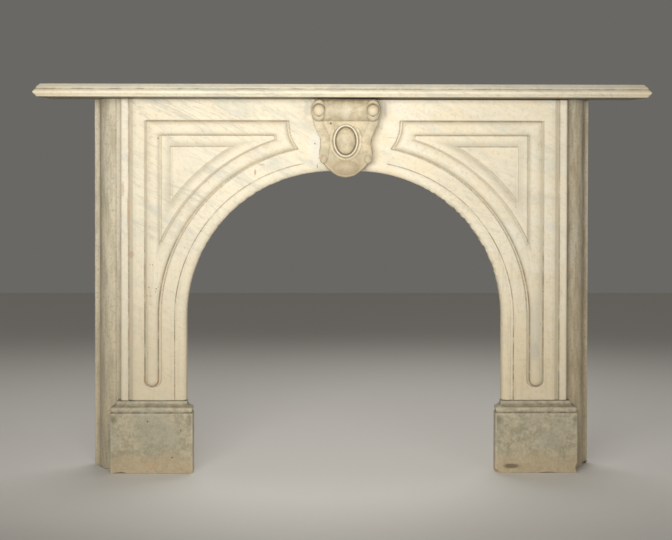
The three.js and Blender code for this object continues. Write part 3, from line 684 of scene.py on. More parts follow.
def shelf_edge():
    """(inset, height), from the underside up."""
    foot = SHELF_LOW[2]
    ogee_foot = SHELF_HIGH[2] - SHELF_OGEE_HEIGHT
    torus_top = ogee_foot - SHELF_NECK_HEIGHT
    torus_foot = torus_top - SHELF_TORUS_HEIGHT
    fall = SHELF_TOP_INSET - SHELF_NECK_INSET
    torus = along(ROUND_STEPS, lambda t: (
        SHELF_TORUS_RISE * (1 - math.sin(math.pi * t)), torus_foot + SHELF_TORUS_HEIGHT * t,
    ))
    ogee = along(ROUND_STEPS, lambda t: (
        SHELF_TOP_INSET - fall * math.cos(math.pi / 2 * t) ** SHELF_OGEE_HOLLOW,
        ogee_foot + SHELF_OGEE_HEIGHT * t,
    ))
    ogee[-1] = (SHELF_TOP_INSET, SHELF_HIGH[2])
    return [(SHELF_FOOT_INSET, foot), *torus, (SHELF_QUIRK_INSET, torus_top), *ogee]


def return_form():
    side = RETURN_HIGH[0] - REAR_FILLET_WIDTH
    start = side - QUARTER_ROUND
    inside = RETURN_HIGH[0] - RETURN_THICKNESS
    front = FACE_Y - RETURN_LOW[1]
    back = FACE_Y - RETURN_HIGH[1]
    seat = back + REAR_FILLET_DEPTH + REAR_FILLET_SETBACK
    curve = along(ROLL_STEPS, lambda t: (
        start + QUARTER_ROUND * math.sin(math.pi / 2 * t),
        seat + QUARTER_ROUND * math.cos(math.pi / 2 * t),
    ))
    plan = [
        (RETURN_LOW[0], front), (start, front), *curve, (side, seat - REAR_FILLET_SETBACK),
        (RETURN_HIGH[0], seat - REAR_FILLET_SETBACK), (RETURN_HIGH[0], back), (inside, back),
        (inside, seat), (RETURN_LOW[0], front - RETURN_THICKNESS),
    ]
    return upright(plan, RETURN_LOW[2], RETURN_HIGH[2])


def mirrored(piece, middle, name):
    """A copy on the other side of an upright plane at x = middle."""
    bm = bmesh.new()
    bm.from_mesh(piece.data)
    bmesh.ops.scale(bm, verts=bm.verts, vec=(-1, 1, 1))
    bmesh.ops.translate(bm, verts=bm.verts, vec=(2 * middle, 0, 0))
    return piece_of(bm, name)


# Wear. A bite pushes the skin out of an ellipsoid, so it leaves a broken hollow.
RIDES = "root"
WEAR_PATCH = 0.045
UNEVENNESS = 0.00025
UNEVEN_PATCH = 0.030
HOLLOWS = (
    ((("hollow", 1), ("proud", -1)), 0.0075, 0.0011),
    ((("basin", 1),), 0.0200, 0.0040),
)
MARKS = ("hollow", "proud", "basin")
WEAR_MIDDLE = 0.35
WEAR_CONTRAST = 1.3
SEED_STEPS = (7.31, 3.17, 5.77)
SMOOTHING = 0.5
BITE_ROUGHNESS = 0.12
BITE_LUMP = 0.8
BITE_REACH = 1.4
RUBBED_WIDTH = 0.016
WAVE_PATCH = 0.013
WAVE_STRETCH = (1, 0.2, 1)
FOOT_BITES = 26
FOOT_BITE_SINK = (0.001, 0.004)
FOOT_BITE_WIDTH = (0.006, 0.014)
FOOT_BITE_HEIGHT = (0.006, 0.012)


def rows(items, field):
    """A field of three numbers of each item, one row each."""
    flat = np.empty(len(items) * 3)
    items.foreach_get(field, flat)
    return flat.reshape(-1, 3)


def points_of(mesh):
    return rows(mesh.vertices, "co")


def lumps(points, patch, seed):
    """Smooth seeded noise in -1..1 at each point."""
    offset = Vector([seed * step for step in SEED_STEPS])
    return np.array([noise.noise(Vector(point) / patch + offset) for point in points])


def patchy(points, patch, seed):
    """Seeded noise that reaches 0 in some patches and 1 in others."""
    return np.clip(WEAR_MIDDLE + WEAR_CONTRAST * lumps(points, patch, seed), 0, 1)


def smoothed(piece, rounds):
    modifier = piece.modifiers.new("smooth", "SMOOTH")
    modifier.factor = SMOOTHING
    modifier.iterations = rounds
    graph = bpy.context.evaluated_depsgraph_get()
    points = points_of(piece.evaluated_get(graph).data)
    piece.modifiers.clear()
    return points


def bitten(points, bites, seed):
    for centre, radii in bites:
        near = np.all(np.abs(points - centre) < np.array(radii) * BITE_REACH, axis=1)
        if not near.any():
            continue
        local = (points[near] - centre) / radii
        reach = np.linalg.norm(local, axis=1) + 1e-9
        skin = 1 + BITE_ROUGHNESS * lumps(points[near], min(radii) * BITE_LUMP, seed)
        inside = reach < skin
        local[inside] *= (skin / reach)[inside, None]
        moved = points[near]
        moved[inside] = centre + local[inside] * radii
        points[near] = moved
    return points


def mark_hollows(piece, voxel):
    """Writes how sunk or how proud each point of the skin is, for the marks in hollows, painted shade in
    broad recesses, and wear.
    """
    mesh = piece.data
    normals = rows(mesh.vertex_normals, "vector")
    for names, spread, depth in HOLLOWS:
        rounds = round((spread / voxel) ** 2)
        inwards = ((smoothed(piece, rounds) - points_of(mesh)) * normals).sum(axis=1)
        for name, sign in names:
            values = np.clip(sign * inwards / depth, 0, 1)
            mesh.attributes.new(name, "FLOAT", "POINT").data.foreach_set("value", values)


def worn(piece, node, voxel, triangles, sharp, blunt, seed, damage=None):
    """The stone as one fine skin with unevenly worn arrises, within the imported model's box."""
    remesh = piece.modifiers.new("remesh", "REMESH")
    remesh.mode = "VOXEL"
    remesh.voxel_size = voxel
    baked(piece)
    mark_hollows(piece, voxel)
    crisp = smoothed(piece, sharp)
    rounded = smoothed(piece, blunt)
    wear = patchy(crisp, WEAR_PATCH, seed)[:, None]
    points = crisp + (rounded - crisp) * wear
    points[:, 1] += UNEVENNESS * lumps(points, UNEVEN_PATCH, seed + 1)
    if damage:
        points = damage(points)
    set_points(piece.data, np.clip(points, *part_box(node)))
    thinner = piece.modifiers.new("thinner", "DECIMATE")
    thinner.ratio = min(1, triangles / (len(piece.data.polygons) * 2))
    full = piece.data.copy()
    baked(piece)
    set_points(piece.data, np.clip(points_of(piece.data), *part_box(node)))
    carry_marks(full, piece.data)
    piece.data.shade_smooth()
    piece.name = node + "_stone"
    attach(piece, RIDES)
    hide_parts(node)
    return piece


def set_points(mesh, points):
    mesh.vertices.foreach_set("co", points.ravel())
    mesh.update()


def carry_marks(source, target):
    """Takes the marks of the nearest point of the full skin over to the thinned one."""
    tree = KDTree(len(source.vertices))
    for i, point in enumerate(points_of(source)):
        tree.insert(point, i)
    tree.balance()
    nearest = np.array([tree.find(point)[1] for point in points_of(target)])
    for name in MARKS:
        values = np.empty(len(source.vertices))
        source.attributes[name].data.foreach_get("value", values)
        marks = target.attributes.get(name) or target.attributes.new(name, "FLOAT", "POINT")
        marks.data.foreach_set("value", values[nearest])
    bpy.data.meshes.remove(source)


# Where the photograph shows a mark: its pixel, as a place on the face
PIXEL = 0.003033
PHOTO_MIDDLE = 342.4
PHOTO_LINE = 107
PHOTO_LINE_HEIGHT = 1.109


def seen_x(column):
    return (column - PHOTO_MIDDLE) * PIXEL


def seen_z(row):
    return PHOTO_LINE_HEIGHT - (row - PHOTO_LINE) * PIXEL


def rubbed_edge(points, side, first, last, depth, seed):
    """Rubs the haunch's edge back in soft waves between two angles above the springing."""
    across = side * (points[:, 0] - FACE_X) - HAUNCH[0]
    up = points[:, 2] - HAUNCH[1]
    reach = np.hypot(across, up)
    share = np.clip((np.degrees(np.arctan2(up, across)) - first) / (last - first), 0, 1)
    near = np.clip(1 - (reach - HAUNCH_RADIUS) / RUBBED_WIDTH, 0, 1) * np.sqrt(np.sin(math.pi * share))
    push = depth * near * patchy(points * WAVE_STRETCH, WAVE_PATCH, seed)
    points[:, 0] += side * push * across / reach
    points[:, 2] += push * up / reach
    return points


def ragged_foot(low, high, seed):
    """Bites under the foot of a return, which stands on its broken end."""
    draw = random.Random(seed)

    def bite():
        x = draw.uniform(low[0], high[0])
        y = draw.uniform(low[1], high[1])
        z = -draw.uniform(*FOOT_BITE_SINK)
        width = draw.uniform(*FOOT_BITE_WIDTH)
        return (x, y, z), (width, width, draw.uniform(*FOOT_BITE_HEIGHT))

    return [bite() for _ in range(FOOT_BITES)]


# Materials
class Value:
    """A number that varies over the stone. Plain arithmetic on it makes the shader's own maths."""

    def __init__(self, tree, socket):
        self.tree = tree
        self.socket = socket

    def maths(self, operation, *others):
        node = self.tree.nodes.new("ShaderNodeMath")
        node.operation = operation
        for slot, item in zip(node.inputs, (self, *others)):
            plug(self.tree, slot, item)
        return Value(self.tree, node.outputs[0])

    def __add__(self, other):
        return self.maths("ADD", other)

    __radd__ = __add__

    def __sub__(self, other):
        return self.maths("SUBTRACT", other)

    def __rsub__(self, other):
        return (self * -1).maths("ADD", other)

    def __mul__(self, other):
        return self.maths("MULTIPLY", other)

    __rmul__ = __mul__

    def __truediv__(self, other):
        return self.maths("DIVIDE", other)

    def __pow__(self, other):
        return self.maths("POWER", other)

    def __abs__(self):
        return self.maths("ABSOLUTE")

    def above(self, other):
        return self.maths("MAXIMUM", other)

    def below(self, other):
        return self.maths("MINIMUM", other)


def reach(across, up):
    """How far a point is that lies so far across and so far up."""
    return (across * across + up * up) ** 0.5


def plug(tree, slot, item):
    if isinstance(item, Value):
        tree.links.new(item.socket, slot)
    elif isinstance(item, bpy.types.NodeSocket):
        tree.links.new(item, slot)
    else:
        slot.default_value = item


def rgb(red, green, blue):
    """A colour given in the 0 to 255 of a screen, as the shader's linear one."""
    return (*(((c / 255 + 0.055) / 1.055) ** 2.4 for c in (red, green, blue)), 1)


CREAM = rgb(238, 227, 200)
WARM = rgb(236, 217, 178)
PALE = rgb(240, 235, 220)
COOL = rgb(204, 202, 187)
VEIN = rgb(156, 152, 140)
RUST = rgb(168, 112, 56)
# A dark brown for the sunk lines and hollows, also laid as painted shade in the plinth cap's hollow and
# groove and along the panels' top edges.
GRIME_AND_SHADE = rgb(96, 78, 54)
# Near-black: painted shade in the gap under the shelf and on its underside, and a dark spot on the
# keystone.
SOOT_AND_SHADE = rgb(52, 44, 34)
DUST = rgb(150, 136, 108)
# A greyer marble tone for clouds and streaks, also laid as painted shade on the carved forms and in broad
# recesses.
GREY_AND_SHADE = rgb(184, 174, 148)
LEFT_RETURN = rgb(186, 176, 150)
RIGHT_RETURN = rgb(184, 168, 138)

# The carved front lies within this depth of the face, and marks fade out behind it
FRONT_DEPTH = 0.012
FRONT_FADE = 0.004
PITS = (0.021, 0.0014, 0.32, 4.4)
SPECULAR = 0.35
BUMP_DEPTH = 0.0004
PLINTH_BUMP_DEPTH = 0.0005


class Finish:
    """A material on the stones' own coordinates. Tones are laid one over another."""

    def __init__(self, name, ground=CREAM):
        self.colour = ground
        self.material = bpy.data.materials.new(name)
        self.material.use_nodes = True
        self.tree = self.material.node_tree
        self.shader = self.tree.nodes["Principled BSDF"]
        self.place = self.node("ShaderNodeTexCoord", {}, {}).outputs["Object"]
        parts = self.node("ShaderNodeSeparateXYZ", {}, {0: self.place}).outputs
        self.x, self.y, self.z = (Value(self.tree, part) for part in parts)
        self.hollow = self.mark("hollow")
        self.proud = self.mark("proud")
        self.basin = self.mark("basin")
        self.front = self.ramp(self.y, FACE_Y + FRONT_DEPTH + FRONT_FADE, FACE_Y + FRONT_DEPTH)

    def node(self, kind, settings, sockets):
        node = self.tree.nodes.new(kind)
        for name, value in settings.items():
            setattr(node, name, value)
        for name, item in sockets.items():
            plug(self.tree, node.inputs[name], item)
        return node

    def mark(self, name):
        found = self.node("ShaderNodeAttribute", {"attribute_name": name}, {})
        return Value(self.tree, found.outputs["Fac"])

    def clouds(self, size, detail=4, roughness=0.55, place=None, twist=0):
        """Noise with lumps of about a size in metres, around 0.5."""
        sockets = {
            "Vector": place or self.place, "Scale": 1 / size, "Detail": detail,
            "Roughness": roughness, "Distortion": twist,
        }
        return Value(self.tree, self.node("ShaderNodeTexNoise", {}, sockets).outputs[0])

    def turned(self, lean, stretch, shift):
        """Coordinates drawn out along a line that falls to the right at a lean."""
        sockets = {
            "Vector": self.place, "Location": (shift, shift * 0.7, shift * 0.3),
            "Rotation": (0, math.radians(lean), 0), "Scale": (stretch, 1, 1),
        }
        return self.node("ShaderNodeMapping", {"vector_type": "TEXTURE"}, sockets).outputs[0]

    def ramp(self, value, low, high):
        """0 below low to 1 above high, or the other way round where low is higher."""
        settings = {"interpolation_type": "SMOOTHSTEP"}
        ends = (low, high, 0, 1) if low < high else (high, low, 1, 0)
        sockets = {"Value": value, **dict(zip(("From Min", "From Max", "To Min", "To Max"), ends))}
        return Value(self.tree, self.node("ShaderNodeMapRange", settings, sockets).outputs[0])

    def mix(self, first, second, share):
        sockets = {0: share, 6: first, 7: second}
        return self.node("ShaderNodeMix", {"data_type": "RGBA"}, sockets).outputs[2]

    def lay(self, tone, share):
        """Lays a share of a tone over the colour so far."""
        self.colour = self.mix(self.colour, tone, share)

    def stain(self, tone, marks):
        """Marks given as (column, row, half width, half height, share)."""
        for column, row, width, height, share in marks:
            self.lay(tone, self.patch(seen_x(column), seen_z(row), width, height) * share)

    def veins(self, size, width, lean, stretch, shift):
        """Thin wandering lines, on in some places and off in others."""
        place = self.turned(lean, stretch, shift)
        line = self.ramp(abs(self.clouds(size, 6, 0.6, place, 0.5) - 0.5), width, 0)
        return line * self.ramp(self.clouds(size * 2, 2, 0.5, place), 0.42, 0.62)

    def specks(self, cell, size, share, shift):
        """Small dark pits, at most one in each cell."""
        place = self.turned(20, 1.3, shift)
        node = self.node("ShaderNodeTexVoronoi", {}, {"Vector": place, "Scale": 1 / cell})
        parts = self.node("ShaderNodeSeparateColor", {}, {0: node.outputs["Color"]})
        rarity = Value(self.tree, parts.outputs[0])
        dot = self.ramp(Value(self.tree, node.outputs["Distance"]), size / cell, size / cell * 0.4)
        return dot * self.ramp(rarity, share, share * 0.9)

    def oval(self, x, z, half_width, half_height):
        """0 at a place on the front to 1 on an oval about it, and on."""
        return reach((self.x - x) / half_width, (self.z - z) / half_height)

    def patch(self, x, z, half_width, half_height, softness=0.5, ragged=0.9):
        """A stain about a place on the front, with a ragged edge."""
        rough = (self.clouds(min(half_width, half_height) * 1.2, 4, 0.6) - 0.5) * ragged
        away = self.oval(x, z, half_width, half_height) + rough
        return self.ramp(away, 1, 1 - softness) * self.front

    def from_opening(self):
        """Distance from the opening's edge, measured square to it."""
        across = (abs(self.x - FACE_X) - CROWN_HALF_FLAT).above(0)
        up = (self.z - SPRINGING).above(0)
        return reach(across, up) - HAUNCH_RADIUS

    def line(self, value, at, half_width):
        """1 where a value is close to the line's, fading to 0."""
        return self.ramp(abs(value - at), half_width, half_width * 0.3)

    def into_panel(self):
        """Distance inwards from the sunk panel's outline, less than 0 outside it."""
        side = abs(self.x - FACE_X)
        across = side - FLUTE_FOOT[0]
        down = (FLUTE_FOOT[1] - self.z).above(0)
        foot = FLUTE_RADIUS - reach(across, down)
        above_foot = (self.z - FLUTE_FOOT[1]).above(0) * 100
        end = reach(side - END[0], self.z - END[1]) - PANEL_END_RADIUS
        inset = (PANEL_TOP - self.z).below(PANEL_HALF_WIDTH - side).below(end)
        return inset.below(self.from_opening() - PANEL_OFFSET).below(foot + above_foot)

    def done(self, depth=BUMP_DEPTH):
        """The colour so far, with the fine unevenness of an old polish and its pits."""
        gloss = 0.42 + 0.22 * self.clouds(0.02, 5, 0.6) + 0.15 * self.hollow
        pits = self.specks(*PITS)
        height = self.clouds(0.006, 4, 0.6) * 0.5 + self.clouds(0.03, 3) - pits
        bump = self.node("ShaderNodeBump", {}, {"Strength": 1, "Distance": depth, "Height": height})
        plug(self.tree, self.shader.inputs["Base Color"], self.colour)
        plug(self.tree, self.shader.inputs["Roughness"], gloss)
        plug(self.tree, self.shader.inputs["Normal"], bump.outputs[0])
        self.shader.inputs["Specular IOR Level"].default_value = SPECULAR
        return self.material


def marble_ground(f, warmth, coolness, veining, lean, paleness=0.45):
    """Cream marble: faint warm and cool clouds, and soft grey veins that fall to the right."""
    f.lay(WARM, f.ramp(f.clouds(0.16, 5), 0.40, 0.66) * warmth)
    pale = f.ramp(f.clouds(0.035, 6, 0.66, f.turned(lean, 3, 3.1)), 0.46, 0.66)
    f.lay(PALE, pale * paleness)
    cool = f.ramp(f.clouds(0.045, 7, 0.70, f.turned(lean, 4, 1.3)), 0.46, 0.68)
    lintel = 0.35 + 0.65 * f.ramp(f.z, 0.62, 0.86)
    f.lay(COOL, cool * lintel * coolness)
    f.lay(VEIN, f.veins(0.045, 0.035, lean, 5, 5.2) * lintel * (0.38 * veining))
    f.lay(VEIN, f.veins(0.018, 0.050, lean + 6, 4, 2.6) * lintel * (0.30 * veining))
    streaks = f.ramp(f.clouds(0.012, 5, 0.65, f.turned(90, 9, 8.8)), 0.48, 0.70)
    f.lay(GREY_AND_SHADE, streaks * f.ramp(f.z, 0.80, 0.60) * 0.30)
    # Painted shade: darker and warmer towards the floor, where the light falls off.
    f.lay(rgb(212, 190, 146), f.ramp(f.z, 0.72, 0.24) * 0.38)
    f.lay(GREY_AND_SHADE, f.ramp(f.clouds(0.012, 4, 0.7), 0.48, 0.72) * 0.30)
    f.lay(DUST, f.ramp(f.clouds(0.009, 5, 0.75), 0.60, 0.74) * 0.30)


def carved_lines(f, rust, share):
    """Dirt in the carved lines, darker under the top ledge as painted shade, painted shade where the forms
    fall towards them, and a painted highlight on the bead.
    """
    side = abs(f.x - FACE_X)
    inset = f.into_panel()
    field = CHANNEL_WIDTH + BAND_WIDTH
    quirk = SLAB_HALF_WIDTH - BEAD_WIDTH - BEAD_QUIRK_WIDTH / 2
    flank = f.ramp(inset, 0.017, 0.002) * f.ramp(inset, -0.001, 0.001)
    foot = f.ramp(inset, 0.034, CHANNEL_WIDTH) * f.ramp(inset, CHANNEL_WIDTH + 0.001, CHANNEL_WIDTH)
    fall = f.ramp(inset, CHANNEL_WIDTH + 0.008, field) * f.ramp(inset, field + 0.001, field)
    inside = f.ramp(side, quirk + 0.001, quirk)
    splay = f.ramp(side, quirk - SPLAY_WIDTH, quirk - SPLAY_WIDTH + 0.003) * inside
    # Painted shade on the roll's flanks, the channel's foot, the band's fall and the splay.
    f.lay(GREY_AND_SHADE, flank.above(foot).above(fall * 0.8).above(splay) * f.front * 0.58)
    # Painted highlight on the outer bead.
    f.lay(PALE, f.ramp(side, quirk + 0.004, quirk + 0.008) * f.front * 0.22)
    groove = f.line(f.from_opening(), EDGE_GROOVE_OFFSET, 0.0026)
    groove = groove * f.ramp(side, EDGE_GROOVE_END, EDGE_GROOVE_END + 0.010)
    lines = f.line(inset, 0.0028, 0.0038).above(f.line(inset, CHANNEL_WIDTH, 0.0026) * 0.8)
    lines = lines.above(f.line(inset, field, 0.0028) * 0.85)
    # Painted shade: the lines darker along the panel's top edges, under the ledge.
    under_ledge = 0.45 + 0.55 * f.ramp(PANEL_TOP - f.z - inset, 0.004, 0.001)
    broken = 0.3 + 0.7 * f.ramp(f.clouds(0.04, 5, 0.65), 0.30, 0.58)
    tone = f.mix(GRIME_AND_SHADE, RUST, f.ramp(f.clouds(0.10, 4), 0.46, 0.62) * rust)
    leg = f.ramp(f.z, 0.85, 0.60)
    line_dirt_and_shade = groove.above(f.line(side, quirk, 0.0030) * 0.9).above(lines * (under_ledge + 0.4 * leg)) * broken
    f.lay(tone, line_dirt_and_shade * f.front * (share + 0.22 * leg))


def shelf_gap_shade(f):
    """Painted shade in the gap under the shelf, blacker to the right of the keystone."""
    joint = f.ramp(f.z, SLAB_TOP - 0.0060, SLAB_TOP - 0.0025)
    f.lay(SOOT_AND_SHADE, joint * (0.40 + 0.52 * f.ramp(f.x, -0.12, 0.06)))


def soiled_and_shaded(f, grime_and_shade, rust):
    """Painted shade in broad recesses, dirt and rust in the sunk lines, pits, and arrises rubbed a little
    lighter.
    """
    uneven = 0.45 + 0.55 * f.ramp(f.clouds(0.05, 5, 0.6), 0.3, 0.62)
    # Painted shade in the broad recesses of the carving.
    f.lay(GREY_AND_SHADE, f.ramp(f.basin, 0.08, 0.75) * (0.75 * grime_and_shade))
    f.lay(RUST, f.ramp(f.hollow, 0.3, 0.9) * f.ramp(f.clouds(0.09, 4), 0.46, 0.62) * rust)
    f.lay(GRIME_AND_SHADE, f.ramp(f.hollow, 0.25, 1.0) * (uneven * grime_and_shade * 0.7))
    f.lay(PALE, f.proud * 0.28)
    f.lay(GRIME_AND_SHADE, f.specks(*PITS) * 0.75)


def left_marble():
    f = Finish("left_marble")
    marble_ground(f, 0.25, 0.85, 1.1, 28, 0.10)
    f.lay(rgb(214, 206, 184), 0.22)
    carved_lines(f, 0.8, 0.52)
    f.stain(RUST, (
        (123, 188, 0.006, 0.030, 0.35), (128, 212, 0.0035, 0.070, 0.45), (131, 254, 0.012, 0.014, 0.35),
        (255, 172, 0.0045, 0.012, 0.60), (262, 164, 0.010, 0.0035, 0.35)
    ))
    flecks = f.specks(0.009, 0.0021, 0.7, 9.1) * f.patch(seen_x(152), seen_z(284), 0.030, 0.085)
    foot = f.line(f.into_panel(), 0.002, 0.0045) * f.patch(seen_x(151), seen_z(380), 0.030, 0.022)
    f.lay(RUST, foot * 0.7)
    rusty = f.specks(0.009, 0.0018, 0.6, 3.3) * f.patch(seen_x(122), seen_z(188), 0.012, 0.040)
    soiled_and_shaded(f, 0.7, 0.3)
    f.lay(GRIME_AND_SHADE, flecks)
    f.lay(RUST, rusty * 0.8)
    f.stain(rgb(226, 225, 217), ((315, 146, 0.026, 0.070, 0.55),))
    f.stain(rgb(190, 187, 178), ((306, 109, 0.008, 0.028, 0.40),))
    f.stain(GRIME_AND_SHADE, (
        (158, 138, 0.004, 0.004, 0.5), (314.5, 143, 0.0025, 0.0025, 0.9), (317, 165.5, 0.0014, 0.0080, 0.8),
    ))
    shelf_gap_shade(f)
    return f.done()


def right_marble():
    f = Finish("right_marble")
    marble_ground(f, 0.40, 0.45, 0.55, 24)
    carved_lines(f, 0.3, 0.60)
    channel = f.patch(seen_x(536.5), seen_z(330), 0.024, 0.180, 0.9, 0.4)
    f.lay(COOL, channel * 0.5)
    soiled_and_shaded(f, 0.7, 0.12)
    f.stain(rgb(180, 176, 166), (
        (385, 109, 0.006, 0.028, 0.40), (390.5, 137, 0.014, 0.0022, 0.6),
        (501.5, 221.5, 0.011, 0.0025, 0.6), (535, 352, 0.022, 0.030, 0.3),
        (532, 360, 0.060, 0.0018, 0.28),
    ))
    shelf_gap_shade(f)
    return f.done()


def egg_tone(f):
    """Darker in the gap between the egg and its ring, and a painted highlight on the ring."""
    away = f.oval(KEY_MIDDLE, key_level(EGG_LEVEL), EGG_HALF_WIDTH, EGG_HALF_LENGTH)
    f.lay(GRIME_AND_SHADE, f.line(away, 1.04, 0.10) * 0.48)
    # Painted highlight on the ring.
    f.lay(PALE, f.line(away, 1.18, 0.07) * 0.45)


def keystone_marble():
    f = Finish("keystone_marble", rgb(214, 199, 166))
    f.lay(rgb(184, 169, 136), f.ramp(f.clouds(0.022, 7, 0.68), 0.40, 0.62))
    f.lay(rgb(190, 184, 160), f.ramp(f.clouds(0.05, 5, 0.6), 0.48, 0.68) * 0.6)
    ruddy = f.ramp(f.clouds(0.05, 4, 0.5, f.turned(0, 1, 6.2)), 0.55, 0.75)
    f.lay(rgb(206, 170, 136), ruddy * 0.35)
    # Painted shade: darker and browner towards the keystone's foot, which faces down.
    low = f.ramp(f.z + (f.clouds(0.03, 4) - 0.5) * 0.05, key_level(0.42), key_level(0.05))
    f.lay(rgb(162, 144, 110), low * 0.75)
    f.lay(DUST, f.ramp(f.clouds(0.004, 3, 0.7), 0.50, 0.72) * 0.35)
    f.stain(PALE, ((346, 111, 0.016, 0.034, 0.20),))
    soiled_and_shaded(f, 1.0, 0.1)
    f.lay(rgb(240, 230, 202), f.proud * 0.45)
    egg_tone(f)
    knob_tone(f)
    f.stain(rgb(176, 128, 100), (
        (322, 156, 0.005, 0.009, 0.35), (340, 169, 0.012, 0.008, 0.2),
    ))
    f.stain(SOOT_AND_SHADE, ((330.5, 123, 0.0035, 0.0045, 0.9),))
    shelf_gap_shade(f)
    return f.done()


def knob_tone(f):
    """Dirt round the knob in each volute, most above it, and the knob rubbed pale."""
    above = 0.35 + 0.65 * f.ramp((f.z - SCROLL_LEVEL) / KNOB_RADIUS, -0.3, 0.8)
    for side in (-1, 1):
        away = f.oval(KEY_MIDDLE + side * VOLUTE_SPREAD, SCROLL_LEVEL, KNOB_RADIUS, KNOB_RADIUS)
        f.lay(GRIME_AND_SHADE, f.line(away, 0.97, 0.20) * above * 0.55)
        f.lay(rgb(238, 218, 184), f.ramp(away, 0.84, 0.60) * 0.45)


def shelf_marble():
    f = Finish("shelf_marble")
    marble_ground(f, 0.20, 0.80, 0.8, 8, 0.05)
    ogee_foot = SHELF_HIGH[2] - SHELF_OGEE_HEIGHT
    worn_end = f.ramp(abs(f.x), SHELF_HIGH[0] * 0.8, SHELF_HIGH[0])
    soiled_and_shaded(f, 0.55, 0.2)
    f.lay(WARM, worn_end * 0.4)
    f.lay(COOL, f.ramp(f.z, ogee_foot - 0.001, ogee_foot + 0.002) * 0.35)
    edge = f.ramp(f.y, SHELF_HIGH[1] - 0.001, SHELF_HIGH[1] - 0.004)
    quirk = f.line(f.z, ogee_foot - SHELF_NECK_HEIGHT / 2, 0.0026)
    f.lay(GRIME_AND_SHADE, quirk * edge * (0.25 + 0.35 * f.ramp(f.clouds(0.05, 4), 0.4, 0.6)))
    near = f.ramp(f.y, SHELF_LOW[1] + 0.030, SHELF_LOW[1] + 0.012)
    smoky = f.patch(seen_x(335), seen_z(90), 0.036, 0.014) * near
    f.lay(rgb(168, 164, 154), smoky * 0.30)
    # Painted shade on the shelf's underside.
    f.lay(SOOT_AND_SHADE, f.ramp(f.z, SHELF_FOOT + 0.0015, SHELF_FOOT) * 0.7)
    return f.done()


def cap_shade_and_joint_dirt(f):
    """Painted shade in the plinth's hollow and in the line under its torus, and dirt in the joint above."""
    top = PLINTH_HIGH[2]
    hollow = f.line(f.z, top - CAP_FILLET_HEIGHT - CAP_HOLLOW_HEIGHT * 0.7, CAP_HOLLOW_HEIGHT * 0.8)
    torus_foot = top - CAP_FILLET_HEIGHT - CAP_HOLLOW_HEIGHT - CAP_TORUS_HEIGHT
    line = f.line(f.z, torus_foot - CAP_GROOVE_HEIGHT / 2, 0.0036)
    broken = 0.4 + 0.6 * f.ramp(f.clouds(0.03, 5, 0.65), 0.35, 0.6)
    edge = f.ramp(f.y, SLAB_BACK - 0.001, SLAB_BACK - 0.004)
    # Painted shade in the cap's hollow and under its torus.
    f.lay(GRIME_AND_SHADE, (hollow * 0.4).above(line * 0.65) * broken * edge)
    f.lay(GRIME_AND_SHADE, f.ramp(f.z, top - 0.0030, top - 0.0005) * 0.5)


def plinth_marble():
    f = Finish("plinth_marble", rgb(202, 192, 164))
    f.lay(rgb(166, 158, 134), f.ramp(f.clouds(0.020, 8, 0.76), 0.40, 0.62))
    f.lay(rgb(180, 175, 154), f.ramp(f.clouds(0.10, 6, 0.65), 0.46, 0.66) * 0.65)
    low = f.ramp(f.z + (f.clouds(0.08, 4) - 0.5) * 0.08, 0.080, 0.03)
    f.lay(rgb(204, 182, 146), low * 0.6)
    f.lay(DUST, f.ramp(f.clouds(0.004, 3, 0.75), 0.50, 0.70) * 0.45)
    for column, width in ((114, 0.016), (190, 0.012), (499, 0.016), (576, 0.012)):
        corner = f.patch(seen_x(column), seen_z(419), width, 0.022, 0.9)
        f.lay(GRIME_AND_SHADE, corner * 0.4)
    dark = f.patch(seen_x(512), seen_z(465.5), 0.032, 0.010, 0.6, 0.5)
    ruddy = f.patch(seen_x(151), seen_z(464), 0.028, 0.012, 0.8)
    f.lay(rgb(84, 70, 50), dark * 0.7)
    f.lay(rgb(208, 170, 134), ruddy * 0.4)
    f.lay(GRIME_AND_SHADE, f.specks(0.013, 0.0015, 0.45, 2.3) * 0.7)
    soiled_and_shaded(f, 0.8, 0.2)
    cap_shade_and_joint_dirt(f)
    f.stain(GRIME_AND_SHADE, (
        (148, 420.5, 0.0040, 0.0030, 0.8), (181, 429, 0.0030, 0.0030, 0.8),
        (172.6, 456.6, 0.0035, 0.0030, 0.8),
    ))
    return f.done(PLINTH_BUMP_DEPTH)


def return_marble(name, tone):
    f = Finish(name)
    marble_ground(f, 0.3, 0.4, 0.3, 80)
    streaks = f.ramp(f.clouds(0.02, 6, 0.68, f.turned(90, 6, 2)), 0.40, 0.66)
    f.lay(tone, 0.30 + 0.60 * streaks)
    f.lay(DUST, f.ramp(f.clouds(0.008, 5, 0.75), 0.50, 0.68) * 0.45)
    soiled_and_shaded(f, 0.8, 0.15)
    return f.done()


def at_front(*bites):
    """Bites in a plinth's front from (x, z, (radii))."""
    return [((x, PLINTH_LOW[1], z), radii) for x, z, radii in bites]


PLINTH_LEFT_BITES = at_front(
    (seen_x(121), -0.004, (0.022, 0.012, 0.009)),
    (seen_x(192.6), seen_z(455), (0.005, 0.006, 0.008)),
    (seen_x(192.6), seen_z(462), (0.004, 0.005, 0.005)),
    (seen_x(110), seen_z(445), (0.004, 0.005, 0.006)),
    (seen_x(116), seen_z(402), (0.012, 0.014, 0.008)),
)
PLINTH_RIGHT_BITES = at_front(
    (PLINTH_LOW[0] - 0.002, -0.002, (0.014, 0.020, 0.014)),
    (PLINTH_HIGH[0] + 0.002, 0.016, (0.008, 0.014, 0.012)),
    (seen_x(548), -0.006, (0.040, 0.012, 0.009)),
    (PLINTH_HIGH[0], seen_z(404), (0.014, 0.012, 0.007)),
    (PLINTH_LOW[0], seen_z(403), (0.013, 0.012, 0.008)),
)
LEFT_FEET = ragged_foot(*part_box("return_left"), 31)
RIGHT_FEET = ragged_foot(RETURN_LOW, RETURN_HIGH, 32)


